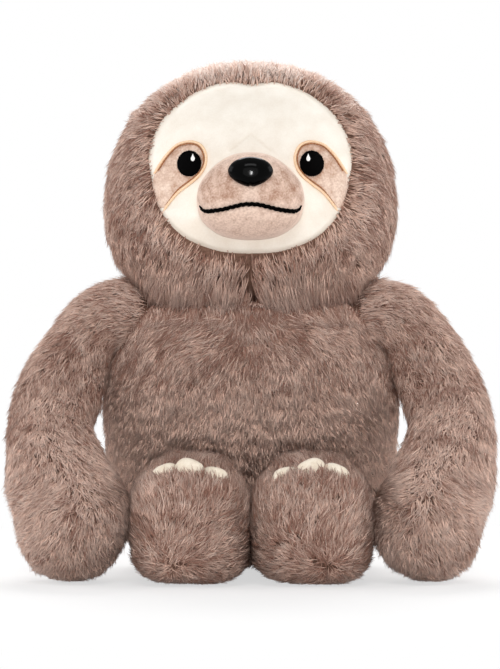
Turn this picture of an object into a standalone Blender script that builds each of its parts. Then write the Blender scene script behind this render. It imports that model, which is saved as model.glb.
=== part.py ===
"""Seated plush sloth, built as it is sewn: pile covers over stuffing, a velour face, a moulded nose.

Lengths are in metres and +Z is up. The toy faces -Y, and its own left side is at +X. The origin lies on
the floor, midway between the soles of the feet and the back of the head.
"""

import bpy
import bmesh
import numpy as np
from mathutils import Vector

for old in list(bpy.data.objects):
    bpy.data.objects.remove(old, do_unlink=True)

# Whole toy
OVERALL_DEPTH = 0.187
OVERRUN = 0.02
SEAM_GAP = 0.0003
STUFFING_GAP = 0.0009
TURNING_GAP = 0.0006
FLOOR_PRESS = 0.0005

# Head
HEAD_HALF_WIDTH = 0.0867
HEAD_HALF_DEPTH = 0.0665
HEAD_RISE = 0.0885
HEAD_DROP = 0.067
HEAD_WIDEST_Z = 0.209
HEAD_EXPONENT = 2.2
HEAD_COVER_THICKNESS = 0.0075
SPINE_Y = OVERALL_DEPTH / 2 - HEAD_HALF_DEPTH

# Neck seam, with the cone under the jaw that clears the shoulders
NECK_Z = 0.155
NECK_RADIUS = 0.047
JAW_RUN = 0.0324
JAW_RISE = 0.0258

# Torso, with shares of height, width, depth and shoulder rise from the seat up to the neck
TORSO_HALF_WIDTH = 0.0886
TORSO_HALF_DEPTH = 0.06
TORSO_COVER_THICKNESS = 0.0075
SHOULDER_RISE = 0.011
TORSO_SHARES = (
    (0.0, 0.60, 0.50, 0),
    (0.035, 0.73, 0.66, 0),
    (0.11, 0.85, 0.82, 0),
    (0.23, 0.93, 0.93, 0),
    (0.40, 0.98, 0.99, 0),
    (0.57, 1.0, 1.0, 0),
    (0.73, 0.97, 0.975, 0.1),
    (0.86, 0.91, 0.925, 0.5),
    (0.94, 0.84, 0.88, 1),
    (0.985, 0.71, 0.83, 0.8),
)

# Arm, with shares of its reach outward, forward and down, and of the hand's half width and half depth
ARM_COVER_THICKNESS = 0.0065
SHOULDER_X = 0.067
SHOULDER_Y = 0.025
SHOULDER_Z = 0.149
ARM_REACH_OUT = 0.0465
ARM_REACH_FORWARD = 0.080
ARM_REACH_DOWN = 0.1138
HAND_HALF_WIDTH = 0.0310
HAND_HALF_DEPTH = 0.0360
ARM_SHARES = (
    (0.0, 0.0, 0.0, 0.548, 0.472),
    (0.108, 0.0, 0.0, 0.661, 0.569),
    (0.280, 0.0125, 0.018, 0.694, 0.597),
    (0.495, 0.0375, 0.070, 0.694, 0.611),
    (0.710, 0.0875, 0.176, 0.710, 0.653),
    (0.925, 0.2125, 0.378, 0.806, 0.708),
    (1.0, 0.4625, 0.589, 0.839, 0.75),
    (0.882, 0.75, 0.782, 0.935, 0.861),
    (0.680, 1.0, 1.0, 1.0, 1.0),
)
HAND_CAP_LENGTH = 0.036
ARM_LIFT_REACH = 0.058

# Leg, as a short stuffed tube that points forward, with shares along it from the hip to the sole
LEG_X = 0.0334
LEG_HALF_WIDTH = 0.0326
LEG_HALF_HEIGHT = 0.0355
LEG_TOP_ROUNDNESS = 2.6
LEG_SOLE_ROUNDNESS = 2.9
LEG_COVER_THICKNESS = 0.0065
LEG_Z = LEG_HALF_HEIGHT - FLOOR_PRESS
HIP_FORWARD = 0.024
HIP_Y = -HIP_FORWARD
HIP_ROOT_DEPTH = 0.020
HIP_SIDE_CLEARANCE = 0.0012
HIP_LIFT_DEGREES = 25
LEG_SHARES = (
    (0.0, 1.0),
    (0.30, 1.0),
    (0.55, 0.99),
    (0.72, 0.95),
    (0.86, 0.85),
    (0.955, 0.66),
    (0.993, 0.36),
)

# Claws, padded tabs fanned over the top of each foot, with their tips in shares of the leg's section
CLAW_TIP_SHARES = {"middle": (0.15, 1.04), "inner": (-0.66, 0.80), "outer": (0.61, 0.80)}
CLAW_LEAN_DEGREES = {"middle": 18, "inner": -72, "outer": 72}
CLAW_HALF_WIDTH = 0.0074
CLAW_HALF_THICKNESS = 0.0045
CLAW_HALF_LENGTH = 0.0098
CLAW_INSET_Y = 0.0125
CLAW_ROUNDNESS = 2.6

# Face panel, with a heart-like outline in shares of its half width and height
FACE_HALF_WIDTH = 0.057
FACE_BOTTOM_Z = 0.1817
FACE_HEIGHT = 0.1003
FACE_PANEL_THICKNESS = 0.003
FACE_SHARES = (
    (0.0, 0.985), (0.24, 1.0), (0.53, 0.945), (0.80, 0.825), (0.93, 0.71), (1.0, 0.58), (0.98, 0.44),
    (0.90, 0.265), (0.78, 0.16), (0.60, 0.075), (0.30, 0.012), (0.0, 0.0),
)

# Eyes, their highlights, patches and trims; the trim's points are shares of its reach from the eye
EYE_X = 0.0346
EYE_Z = 0.2334
EYE_HALF_WIDTH = 0.0069
EYE_HALF_HEIGHT = 0.0074
EYE_EDGE = 0.0006
EYE_CROWN = 0.0009
GLINT_HALF_WIDTH = 0.0015
GLINT_HALF_HEIGHT = 0.0023
GLINT_IN = 0.0021
GLINT_UP = 0.0026
GLINT_THICKNESS = 0.0005
PATCH_THICKNESS = 0.001
TRIM_RADIUS = 0.00085
TRIM_REACH = 0.027
PATCH_SETBACK = 0.002
TRIM_SHARES = (
    (0.735, -0.207), (0.50, 0.144), (0.27, 0.381), (-0.022, 0.452), (-0.248, 0.381), (-0.333, 0.144),
    (-0.333, -0.137), (-0.126, -0.333), (0.185, -0.581), (0.437, -0.852), (0.525, -0.985),
)
PATCH_EDGE_SHARES = ((0.70, -0.66), (0.745, -0.43))

# Muzzle, with its outline in shares of its half width and height
MUZZLE_HALF_WIDTH = 0.030
MUZZLE_BOTTOM_Z = 0.190
MUZZLE_HEIGHT = 0.0486
MUZZLE_RISE = 0.023
MUZZLE_CLOTH = 0.002
MUZZLE_ROUNDNESS = 2.3
MUZZLE_SHARES = (
    (0.0, 1.0), (0.34, 0.97), (0.65, 0.86), (0.89, 0.70), (0.985, 0.575), (1.0, 0.40), (0.885, 0.20),
    (0.52, 0.045), (0.0, 0.0),
)

# Mouth, a stitched line in shares of its half width, and heights from its ends in shares of its drop
MOUTH_HALF_WIDTH = 0.0290
MOUTH_END_Z = 0.2085
MOUTH_DROP = 0.0045
MOUTH_RADIUS = 0.0010
MOUTH_TIP_SHARE = 0.45
MOUTH_SHARES = (
    (-1.0, 0.0), (-0.90, -0.80), (-0.78, -1.0), (-0.50, -0.62), (-0.22, -0.14), (0.0, 0.0),
    (0.22, -0.14), (0.50, -0.62), (0.78, -1.0), (0.90, -0.80), (1.0, 0.0),
)

# Nose, at a share of the muzzle's height, with its shank and washer
NOSE_UP_SHARE = 0.745
NOSE_Z = MUZZLE_BOTTOM_Z + NOSE_UP_SHARE * MUZZLE_HEIGHT
NOSE_HALF_WIDTH = 0.0122
NOSE_HALF_HEIGHT = 0.0077
NOSE_EDGE = 0.0016
NOSE_CROWN = 0.0052
NOSE_SHARES = (
    (0.0, 1.0), (0.45, 0.95), (0.82, 0.64), (1.0, 0.08), (0.90, -0.40), (0.58, -0.80), (0.24, -1.0),
    (0.0, -0.94),
)
NOSTRIL_RADIUS = 0.0024
NOSTRIL_X = 0.0031
NOSTRIL_UP = 0.0008
SHANK_RADIUS = 0.0025
WASHER_RADIUS = 0.0062
WASHER_THICKNESS = 0.0015

COLUMNS = 32
LIMB_COLUMNS = 20
SIDES = {"left": 1, "right": -1}


def linear(hex_colour):
    """An sRGB hex colour as linear red, green, blue and alpha."""
    channels = np.array([int(hex_colour[i : i + 2], 16) for i in (0, 2, 4)]) / 255
    low, high = channels / 12.92, ((channels + 0.055) / 1.055) ** 2.4
    return (*np.where(channels <= 0.04045, low, high), 1.0)


def finish(name, hex_colour, roughness):
    """A Principled material of one colour and roughness."""
    material = bpy.data.materials.new(name)
    material.use_nodes = True
    shader = material.node_tree.nodes["Principled BSDF"]
    shader.inputs["Base Color"].default_value = linear(hex_colour)
    shader.inputs["Roughness"].default_value = roughness
    shader.inputs["Metallic"].default_value = 0.0
    material.diffuse_color = linear(hex_colour)
    return material


PILE = finish("taupe_pile_plush", "8f7468", 0.95)
VELOUR = finish("cream_velour", "f2e9de", 0.9)
PATCH = finish("pinkish_tan_pile", "d9bdab", 0.9)
MUZZLE = finish("tan_velour", "d8bcab", 0.9)
CLAW = finish("pale_claw_velour", "e9d8c1", 0.9)
SATIN = finish("peach_satin_cord", "d9a78c", 0.5)
BLACK_THREAD = finish("black_embroidery_thread", "17130f", 0.45)
WHITE_THREAD = finish("white_embroidery_thread", "f5f2ee", 0.5)
NOSE = finish("glossy_black_nose_plastic", "100f10", 0.15)
WASHER = finish("white_washer_plastic", "e8e8e4", 0.5)
FILL = finish("white_polyester_fill", "f4f4f0", 1.0)


def pivot(name, place):
    """An empty on a joint's axis, which carries the pieces that turn there."""
    empty = bpy.data.objects.new(name, None)
    empty.location = place
    bpy.context.collection.objects.link(empty)
    return empty


def skin(rows):
    """Joins rows of points, each a ring or a single pole, into one closed triangulated skin."""
    bm = bmesh.new()
    made = [[bm.verts.new(point) for point in row] for row in rows]
    for lower, upper in zip(made, made[1:]):
        count = max(len(lower), len(upper))
        for i in range(count):
            j = (i + 1) % count
            corners = (
                lower[i % len(lower)], lower[j % len(lower)], upper[j % len(upper)], upper[i % len(upper)],
            )
            bm.faces.new(list(dict.fromkeys(corners)))
    bmesh.ops.triangulate(bm, faces=bm.faces)
    bmesh.ops.recalc_face_normals(bm, faces=bm.faces)
    return bm


def piece(name, bm, material=None, carrier=None):
    """Makes an object from a skin in world places, and hangs it on its carrier's empty."""
    if carrier:
        bmesh.ops.translate(bm, verts=bm.verts, vec=-Vector(carrier.location))
    mesh = bpy.data.meshes.new(name)
    bm.to_mesh(mesh)
    bm.free()
    mesh.shade_smooth()
    made = bpy.data.objects.new(name, mesh)
    made.parent = carrier
    bpy.context.collection.objects.link(made)
    if material:
        mesh.materials.append(material)
    return made


def cutter(name, bm):
    """A guide solid that only cuts others."""
    made = piece(name, bm)
    made.hide_render = True
    made.display_type = "WIRE"
    return made


def boolean(target, tool, operation="DIFFERENCE"):
    """Cuts the target by the tool, or joins the two."""
    step = target.modifiers.new(operation.lower(), "BOOLEAN")
    step.operation = operation
    step.object = tool
    step.solver = "EXACT"


def turn_x(points, centre_y, centre_z, degrees):
    """Points turned about an axis along X, with positive degrees lifting what lies forward."""
    angle = np.radians(degrees)
    y, z = points[:, 1] - centre_y, points[:, 2] - centre_z
    turned_y = centre_y + y * np.cos(angle) + z * np.sin(angle)
    turned_z = centre_z - y * np.sin(angle) + z * np.cos(angle)
    return np.column_stack([points[:, 0], turned_y, turned_z])


def smooth_line(points, count):
    """Places at even steps along a smooth curve through an open row of points."""
    points = np.asarray(points, float)
    padded = np.vstack([2 * points[0] - points[1], points, 2 * points[-1] - points[-2]])
    return blend_through(padded, len(points) - 1, count + 1)


def smooth_loop(points, count):
    """Places at even steps along a smooth curve through a closed loop of points."""
    points = np.asarray(points, float)
    padded = np.vstack([points[-1], points, points[:2]])
    return blend_through(padded, len(points), count + 1)[:-1]


def blend_through(padded, spans, count):
    """A cubic curve through all but the first and last points, resampled by its length."""
    fine = np.linspace(0, spans, spans * 12 + 1)
    span = np.minimum(fine.astype(int), spans - 1)
    t = (fine - span)[:, None]
    before, start, end, after = (padded[span + k] for k in range(4))
    curve = 0.5 * (
        2 * start
        + (end - before) * t
        + (2 * before - 5 * start + 4 * end - after) * t**2
        + (3 * start - before - 3 * end + after) * t**3
    )
    along = np.append(0, np.cumsum(np.linalg.norm(np.diff(curve, axis=0), axis=1)))
    even = np.linspace(0, along[-1], count)
    return np.column_stack([np.interp(even, along, column) for column in curve.T])


def mirrored(half):
    """A closed outline from the points of its right half, listed from its top to its bottom."""
    half = np.asarray(half, float)
    return np.vstack([half, half[-2:0:-1] * (-1, 1)])


# Head cover and its stuffing
def head_ring(z, inset):
    """The head's outline at one height: a superellipse, kept inside the cone of the jaw."""
    angles = np.linspace(0, 2 * np.pi, COLUMNS, endpoint=False)
    c, s = np.cos(angles), np.sin(angles)
    height = (HEAD_RISE if z > HEAD_WIDEST_Z else HEAD_DROP) - inset
    level = max(0, 1 - (abs(z - HEAD_WIDEST_Z) / height) ** HEAD_EXPONENT) ** (1 / HEAD_EXPONENT)
    across = np.abs(c / (HEAD_HALF_WIDTH - inset)) ** HEAD_EXPONENT
    along = np.abs(s / (HEAD_HALF_DEPTH - inset)) ** HEAD_EXPONENT
    cone = NECK_RADIUS - inset + (z - NECK_Z) * JAW_RUN / JAW_RISE
    reach = np.minimum(level * (across + along) ** (-1 / HEAD_EXPONENT), cone)
    return np.column_stack([reach * c, SPINE_Y + reach * s, np.full(COLUMNS, z)])


def head_rows(inset):
    """Rings from the crown's pole down to the neck seam."""
    rise = HEAD_RISE - inset
    steps = np.radians([14, 29, 44, 59, 74, 90])
    upper = [HEAD_WIDEST_Z + rise * np.cos(step) ** (2 / HEAD_EXPONENT) for step in steps]
    lower = np.linspace(HEAD_WIDEST_Z, NECK_Z + TURNING_GAP / 2, 7)[1:]
    rings = [head_ring(z, inset) for z in (*upper, *lower)]
    return [np.array([[0, SPINE_Y, HEAD_WIDEST_Z + rise]]), *rings]


def face_y(x, z, inset):
    """Where the front of the head lies, below its pile by an inset."""
    dz = np.abs(z - HEAD_WIDEST_Z) / (np.where(z > HEAD_WIDEST_Z, HEAD_RISE, HEAD_DROP) - inset)
    rest = 1 - dz**HEAD_EXPONENT - np.abs(x / (HEAD_HALF_WIDTH - inset)) ** HEAD_EXPONENT
    return SPINE_Y - (HEAD_HALF_DEPTH - inset) * np.maximum(rest, 0) ** (1 / HEAD_EXPONENT)


def disc_centre(ring):
    """The middle of a ring, which closes it as a flat disc."""
    return ring.mean(axis=0)[None]


head_pivot = pivot("neck_axis", (0, SPINE_Y, NECK_Z))
head_cover = piece(
    "head_cover", skin(head_rows(0) + head_rows(HEAD_COVER_THICKNESS)[::-1]), PILE, head_pivot
)
fill_rows = head_rows(HEAD_COVER_THICKNESS + STUFFING_GAP)
piece("head_stuffing", skin(fill_rows + [disc_centre(fill_rows[-1])]), FILL, head_pivot)


# Flat pieces that lie on the face
def pad(outline, back, front, shares=(0.35, 0.7, 1.0)):
    """A closed pad within an outline of x and z, between two functions of x, z and share to the edge."""
    middle = (outline.min(axis=0) + outline.max(axis=0)) / 2

    def row(share, surface):
        x, z = (middle + share * (outline - middle)).T if share else middle[:, None]
        return np.column_stack([x, surface(x, z, share), z])

    return skin(
        [row(0, front), *(row(share, front) for share in shares)]
        + [*(row(share, back) for share in shares[::-1]), row(0, back)]
    )


def under_pile(inset):
    """A surface of the face at one inset."""
    return lambda x, z, share: face_y(x, z, inset)


def grown(outline, amount):
    """An outline whose sides are moved outward by an amount, or inward if it is negative."""
    along = np.roll(outline, -1, axis=0) - outline
    along /= np.linalg.norm(along, axis=1)[:, None]
    after = np.column_stack([along[:, 1], -along[:, 0]])
    if ((outline - outline.mean(axis=0)) * after).sum() < 0:
        after = -after
    before = np.roll(after, 1, axis=0)
    mitre = (before + after) / (1 + (before * after).sum(axis=1))[:, None]
    return outline + amount * mitre


PANEL_FRONT = HEAD_COVER_THICKNESS - FACE_PANEL_THICKNESS
FACE_OUTLINE = smooth_loop(
    mirrored(FACE_SHARES) * (FACE_HALF_WIDTH, FACE_HEIGHT) + (0, FACE_BOTTOM_Z), 36
)
face_window = grown(FACE_OUTLINE, SEAM_GAP)
window_back = SPINE_Y - HEAD_HALF_DEPTH / 3
face_cut = cutter(
    "face_window_cutter",
    pad(
        face_window,
        lambda x, z, share: np.full_like(x, window_back),
        lambda x, z, share: np.full_like(x, SPINE_Y - HEAD_HALF_DEPTH - OVERRUN),
        shares=(1.0,),
    ),
)
boolean(head_cover, face_cut)
piece(
    "face_panel",
    pad(FACE_OUTLINE, under_pile(HEAD_COVER_THICKNESS), under_pile(PANEL_FRONT), (0.25, 0.5, 0.75, 1.0)),
    VELOUR,
    head_pivot,
)


# Cords and stitched lines that follow a surface
def cord_on(surface, path, radii, lift):
    """A round cord along x and z places, held off a surface by a lift, with tapered closed ends."""
    x, z = path.T
    step = SEAM_GAP
    y = surface(x, z)
    slope_x = (surface(x + step, z) - surface(x - step, z)) / (2 * step)
    slope_z = (surface(x, z + step) - surface(x, z - step)) / (2 * step)
    normal = np.column_stack([slope_x, -np.ones_like(x), slope_z])
    normal /= np.linalg.norm(normal, axis=1)[:, None]
    centre = np.column_stack([x, y, z]) + normal * (radii.max() + lift)
    ahead = np.gradient(centre, axis=0)
    ahead /= np.linalg.norm(ahead, axis=1)[:, None]
    side = np.cross(ahead, normal)
    rows = []
    for i, radius in enumerate(radii):
        angles = np.linspace(0, 2 * np.pi, 6, endpoint=False)[:, None]
        rows.append(centre[i] + radius * (np.cos(angles) * side[i] + np.sin(angles) * normal[i]))
    first = centre[:1] - ahead[:1] * radii[0] / 2
    last = centre[-1:] + ahead[-1:] * radii[-1] / 2
    return skin([first, *rows, last])


def on_panel(x, z):
    """The face panel's outer surface."""
    return face_y(x, z, PANEL_FRONT)


# Eyes with their patches, trims and highlights
PATCH_BACK = PANEL_FRONT - SEAM_GAP
PATCH_FRONT = PATCH_BACK - PATCH_THICKNESS
EYE_BACK = PATCH_FRONT - SEAM_GAP


def eye_front(x, z, share):
    """The satin stitch's surface, thickest in the eye's middle."""
    return face_y(x, z, EYE_BACK - EYE_EDGE) - EYE_CROWN * (1 - share**2)


def on_eye(x, z, middle_x):
    """The satin stitch's surface at any place on the eye."""
    share = np.hypot((x - middle_x) / EYE_HALF_WIDTH, (z - EYE_Z) / EYE_HALF_HEIGHT)
    return eye_front(x, z, np.minimum(share, 1))


def ellipse(x, z, half_width, half_height, count):
    """An ellipse of x and z places."""
    angles = np.linspace(0, 2 * np.pi, count, endpoint=False)
    return np.column_stack([x + half_width * np.cos(angles), z + half_height * np.sin(angles)])


for side, sign in SIDES.items():
    eye = np.array([sign * EYE_X, EYE_Z])
    flip = np.array([sign, 1])
    trim_path = smooth_line(np.array(TRIM_SHARES) * TRIM_REACH * flip + eye, 24)
    trim_radii = np.full(len(trim_path), TRIM_RADIUS)
    trim_radii[[0, -1]] /= 2
    piece(f"eye_trim_{side}", cord_on(on_panel, trim_path, trim_radii, SEAM_GAP), SATIN, head_pivot)
    patch_edge = np.array(PATCH_EDGE_SHARES) * TRIM_REACH * flip + eye
    patch_loop = np.vstack([smooth_line(np.array(TRIM_SHARES) * TRIM_REACH * flip + eye, 20), patch_edge])
    patch_loop = grown(patch_loop, -PATCH_SETBACK)
    piece(
        f"eye_patch_{side}",
        pad(patch_loop, under_pile(PATCH_BACK), under_pile(PATCH_FRONT)),
        PATCH,
        head_pivot,
    )
    piece(
        f"eye_{side}",
        pad(ellipse(*eye, EYE_HALF_WIDTH, EYE_HALF_HEIGHT, 20), under_pile(EYE_BACK), eye_front),
        BLACK_THREAD,
        head_pivot,
    )
    glint = eye + (-sign * GLINT_IN, GLINT_UP)
    piece(
        f"eye_glint_{side}",
        pad(
            ellipse(*glint, GLINT_HALF_WIDTH, GLINT_HALF_HEIGHT, 10),
            lambda x, z, share: on_eye(x, z, eye[0]) - SEAM_GAP,
            lambda x, z, share: on_eye(x, z, eye[0]) - SEAM_GAP - GLINT_THICKNESS,
            shares=(1.0,),
        ),
        WHITE_THREAD,
        head_pivot,
    )


# Muzzle cover and its stuffing
MUZZLE_OUTLINE = smooth_loop(
    mirrored(MUZZLE_SHARES) * (MUZZLE_HALF_WIDTH, MUZZLE_HEIGHT) + (0, MUZZLE_BOTTOM_Z), 28
)
MUZZLE_MIDDLE = (MUZZLE_OUTLINE.min(axis=0) + MUZZLE_OUTLINE.max(axis=0)) / 2
MUZZLE_RINGS = (0.2, 0.4, 0.6, 0.78, 0.91, 1.0)


def muzzle_front(x, z, share, cloth=0.0):
    """The dome of the muzzle over the panel, or its inner side below a thickness of cloth."""
    inner_share = np.minimum(share * MUZZLE_HALF_WIDTH / (MUZZLE_HALF_WIDTH - cloth), 1)
    dome = (MUZZLE_RISE - cloth) * (1 - inner_share**MUZZLE_ROUNDNESS) ** (1 / MUZZLE_ROUNDNESS)
    edge = MUZZLE_CLOTH if cloth == 0 else 0
    return face_y(x, z, PANEL_FRONT - SEAM_GAP) - edge * (1 - share) - dome


def share_of(x, z, outline, middle):
    """How far each place lies from an outline's middle, as a share of the way to its edge."""
    spokes = outline - middle
    turn = np.arctan2(spokes[:, 1], spokes[:, 0])
    order = np.argsort(turn)
    reach = np.hypot(*spokes.T)[order]
    places = np.arctan2(z - middle[1], x - middle[0])
    return np.hypot(x - middle[0], z - middle[1]) / np.interp(places, turn[order], reach, period=2 * np.pi)


def on_muzzle(x, z):
    """The muzzle cloth's outer surface at any place."""
    share = np.minimum(share_of(x, z, MUZZLE_OUTLINE, MUZZLE_MIDDLE), 1)
    return muzzle_front(x, z, share)


def inside_muzzle(x, z):
    """The muzzle cloth's inner surface at any place."""
    share = np.minimum(share_of(x, z, MUZZLE_OUTLINE, MUZZLE_MIDDLE), 1)
    return muzzle_front(x, z, share, MUZZLE_CLOTH)


def muzzle_row(share, cloth):
    """One ring of the muzzle's dome, on its outer side or on the inner side of its cloth."""
    inner = 1 - cloth / MUZZLE_HALF_WIDTH
    places = MUZZLE_MIDDLE + share * inner * (MUZZLE_OUTLINE - MUZZLE_MIDDLE)
    x, z = places.T if share else MUZZLE_MIDDLE[:, None]
    return np.column_stack([x, muzzle_front(x, z, share * inner, cloth), z])


def muzzle_fill_row(share, back):
    """One ring of the muzzle's stuffing, behind the cloth or against the face panel."""
    cloth = MUZZLE_CLOTH + STUFFING_GAP
    inner = 1 - cloth / MUZZLE_HALF_WIDTH
    places = MUZZLE_MIDDLE + share * inner * (MUZZLE_OUTLINE - MUZZLE_MIDDLE)
    x, z = places.T if share else MUZZLE_MIDDLE[:, None]
    behind = face_y(x, z, PANEL_FRONT - STUFFING_GAP)
    front = np.minimum(muzzle_front(x, z, share * inner, cloth), behind - SEAM_GAP)
    return np.column_stack([x, behind if back else front, z])


outside = [muzzle_row(share, 0) for share in (0, *MUZZLE_RINGS)]
inside = [muzzle_row(share, MUZZLE_CLOTH) for share in (0, *MUZZLE_RINGS)]
muzzle_cover = piece("muzzle_cover", skin(outside + inside[::-1]), MUZZLE, head_pivot)
fill_front = [muzzle_fill_row(share, False) for share in (0, *MUZZLE_RINGS)]
fill_back = [muzzle_fill_row(share, True) for share in (1.0, 0.5, 0)]
muzzle_stuffing = piece("muzzle_stuffing", skin(fill_front + fill_back), FILL, head_pivot)

mouth_path = smooth_line(
    np.array(MOUTH_SHARES) * (MOUTH_HALF_WIDTH, MOUTH_DROP) + (0, MOUTH_END_Z), 24
)
end_share = np.abs(np.linspace(-1, 1, len(mouth_path)))
mouth_radii = MOUTH_RADIUS * np.interp(end_share, (0, 0.75, 1), (1, 1, MOUTH_TIP_SHARE))
piece("mouth_stitch", cord_on(on_muzzle, mouth_path, mouth_radii, SEAM_GAP), BLACK_THREAD, head_pivot)


# Moulded nose with its shank, and the washer that holds it
def bar(radius, start_y, end_y, z, columns=16):
    """A round bar along Y."""
    angles = np.linspace(0, 2 * np.pi, columns, endpoint=False)
    x, up = radius * np.cos(angles), z + radius * np.sin(angles)
    rings = [np.column_stack([x, np.full(columns, y), up]) for y in (start_y, end_y)]
    return skin([disc_centre(rings[0]), *rings, disc_centre(rings[1])])


NOSE_OUTLINE = smooth_loop(
    mirrored(NOSE_SHARES) * (NOSE_HALF_WIDTH, NOSE_HALF_HEIGHT) + (0, NOSE_Z), 24
)


def nose_back(x, z, share):
    """The side of the nose that seats on the muzzle's cloth."""
    return on_muzzle(x, z) - SEAM_GAP


def nose_front(x, z, share):
    """The crowned front of the nose."""
    return nose_back(x, z, share) - NOSE_EDGE - NOSE_CROWN * np.sqrt(1 - share**2)


nose = piece(
    "nose", pad(NOSE_OUTLINE, nose_back, nose_front, (0.3, 0.6, 0.82, 0.95, 1.0)), NOSE, head_pivot
)
disc = ellipse(0, NOSE_Z, WASHER_RADIUS, WASHER_RADIUS, 16)
washer_front = inside_muzzle(*disc.T).max() + SEAM_GAP
washer_back = washer_front + WASHER_THICKNESS
shank_end = washer_back + WASHER_THICKNESS
nose_face = on_muzzle(np.zeros(1), np.array([NOSE_Z]))[0]
shank = cutter("nose_shank", bar(SHANK_RADIUS, nose_face - NOSE_EDGE - SEAM_GAP, shank_end, NOSE_Z))
boolean(nose, shank, "UNION")
for sign in SIDES.values():
    bm = bmesh.new()
    bmesh.ops.create_icosphere(bm, subdivisions=2, radius=NOSTRIL_RADIUS)
    nostril_y = nose_face - SEAM_GAP - NOSE_EDGE - NOSE_CROWN - NOSTRIL_RADIUS / 2
    bmesh.ops.translate(bm, verts=bm.verts, vec=(sign * NOSTRIL_X, nostril_y, NOSE_Z + NOSTRIL_UP))
    boolean(nose, cutter("nostril_cutter", bm))

shank_hole = cutter(
    "shank_hole_cutter", bar(SHANK_RADIUS + SEAM_GAP, nose_face - OVERRUN, shank_end + SEAM_GAP, NOSE_Z)
)
boolean(muzzle_cover, shank_hole)
washer = piece("nose_washer", bar(WASHER_RADIUS, washer_front, washer_back, NOSE_Z), WASHER, head_pivot)
boolean(washer, shank_hole)
washer_pocket = cutter(
    "washer_pocket_cutter",
    bar(WASHER_RADIUS + SEAM_GAP, nose_face - OVERRUN, washer_back + SEAM_GAP, NOSE_Z),
)
boolean(muzzle_stuffing, washer_pocket)
boolean(muzzle_stuffing, shank_hole)


# Torso cover and its stuffing
def torso_rows(inset):
    """Rings from the flat seat up to the neck seam, raised at both shoulders."""
    angles = np.linspace(0, 2 * np.pi, COLUMNS, endpoint=False)
    top = NECK_Z - TURNING_GAP / 2
    rows = []
    for height_share, width_share, depth_share, rise_share in TORSO_SHARES:
        x = (TORSO_HALF_WIDTH * width_share - inset) * np.cos(angles)
        y = SPINE_Y + (TORSO_HALF_DEPTH * depth_share - inset) * np.sin(angles)
        rise = (SHOULDER_RISE - inset) * rise_share * np.cos(angles) ** 2
        z = inset + (top - inset) * height_share + rise
        rows.append(np.column_stack([x, y, z]))
    neck = NECK_RADIUS - inset
    rows.append(
        np.column_stack([neck * np.cos(angles), SPINE_Y + neck * np.sin(angles), np.full(COLUMNS, top)])
    )
    return [disc_centre(rows[0]), *rows]


torso_cover = piece(
    "torso_cover", skin(torso_rows(0) + torso_rows(TORSO_COVER_THICKNESS)[::-1]), PILE
)
fill_rows = torso_rows(TORSO_COVER_THICKNESS + STUFFING_GAP)
torso_stuffing = piece("torso_stuffing", skin(fill_rows + [disc_centre(fill_rows[-1])]), FILL)


# Arms with their stuffing, and the hollows that they swing in
SHOULDER = np.array([SHOULDER_X, SHOULDER_Y, SHOULDER_Z])
ARM_SIZES = (ARM_REACH_OUT, -ARM_REACH_FORWARD, -ARM_REACH_DOWN, HAND_HALF_WIDTH, HAND_HALF_DEPTH)


def arm_rows(inset, sign):
    """Rings along the arm from its root, and the rounded end of the hand."""
    table = smooth_line(np.array(ARM_SHARES) * ARM_SIZES, 11)
    line, radii = SHOULDER + table[:, :3], table[:, 3:] - inset
    ahead = np.gradient(line, axis=0)
    ahead[0] = (1, 0, 0)
    ahead /= np.linalg.norm(ahead, axis=1)[:, None]
    outward = np.array([0.0, 0.0, 1.0])
    angles = np.linspace(0, 2 * np.pi, LIMB_COLUMNS, endpoint=False)[:, None]
    rows = []
    for centre, direction, (side, fore) in zip(line, ahead, radii):
        outward = outward - direction * outward.dot(direction)
        outward /= np.linalg.norm(outward)
        across = np.cross(direction, outward)
        rows.append(centre + side * np.cos(angles) * outward + fore * np.sin(angles) * across)
    for turn in np.radians([32, 58, 78]):
        centre = line[-1] + ahead[-1] * (HAND_CAP_LENGTH - inset) * np.sin(turn)
        rows.append(centre + (rows[len(line) - 1] - line[-1]) * np.cos(turn))
    rows.append(line[-1:] + ahead[-1] * (HAND_CAP_LENGTH - inset))
    return [row * (sign, 1, 1) for row in rows]


def floor_cut(target, depth):
    """Cuts a stuffed piece flat at one height over the floor."""
    bm = bmesh.new()
    bmesh.ops.create_cube(bm, size=1)
    size = (2 * OVERALL_DEPTH, 2 * OVERALL_DEPTH, OVERRUN)
    bmesh.ops.scale(bm, vec=size, verts=bm.verts)
    bmesh.ops.translate(bm, vec=(0, 0, depth - OVERRUN / 2), verts=bm.verts)
    boolean(target, cutter(target.name + "_floor_cutter", bm))


def swing_cutter(rows, side):
    """The space that the upper arm sweeps about its shoulder's axis, as a turned solid."""
    points = np.vstack(rows)
    swing = np.hypot(points[:, 1] - SHOULDER_Y, points[:, 2] - SHOULDER_Z)
    near = swing < ARM_LIFT_REACH
    across, swing = np.abs(points[near, 0]), swing[near]
    stations = np.linspace(SHOULDER_X, TORSO_HALF_WIDTH, 7)
    flat_share = 1 / np.cos(np.pi / COLUMNS)
    angles = np.linspace(0, 2 * np.pi, COLUMNS, endpoint=False)
    sign = SIDES[side]
    rings = []
    for i, station in enumerate(stations):
        within = across <= stations[min(i + 1, len(stations) - 1)] + SEAM_GAP
        radius = (swing[within].max() + TURNING_GAP) * flat_share
        x = np.full(COLUMNS, sign * (station - TURNING_GAP))
        y, z = SHOULDER_Y + radius * np.cos(angles), SHOULDER_Z + radius * np.sin(angles)
        rings.append(np.column_stack([x, y, z]))
    rings.append(rings[-1] + (sign * OVERRUN, 0, 0))
    return cutter(
        f"shoulder_cutter_{side}", skin([disc_centre(rings[0]), *rings, disc_centre(rings[-1])])
    )


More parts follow.
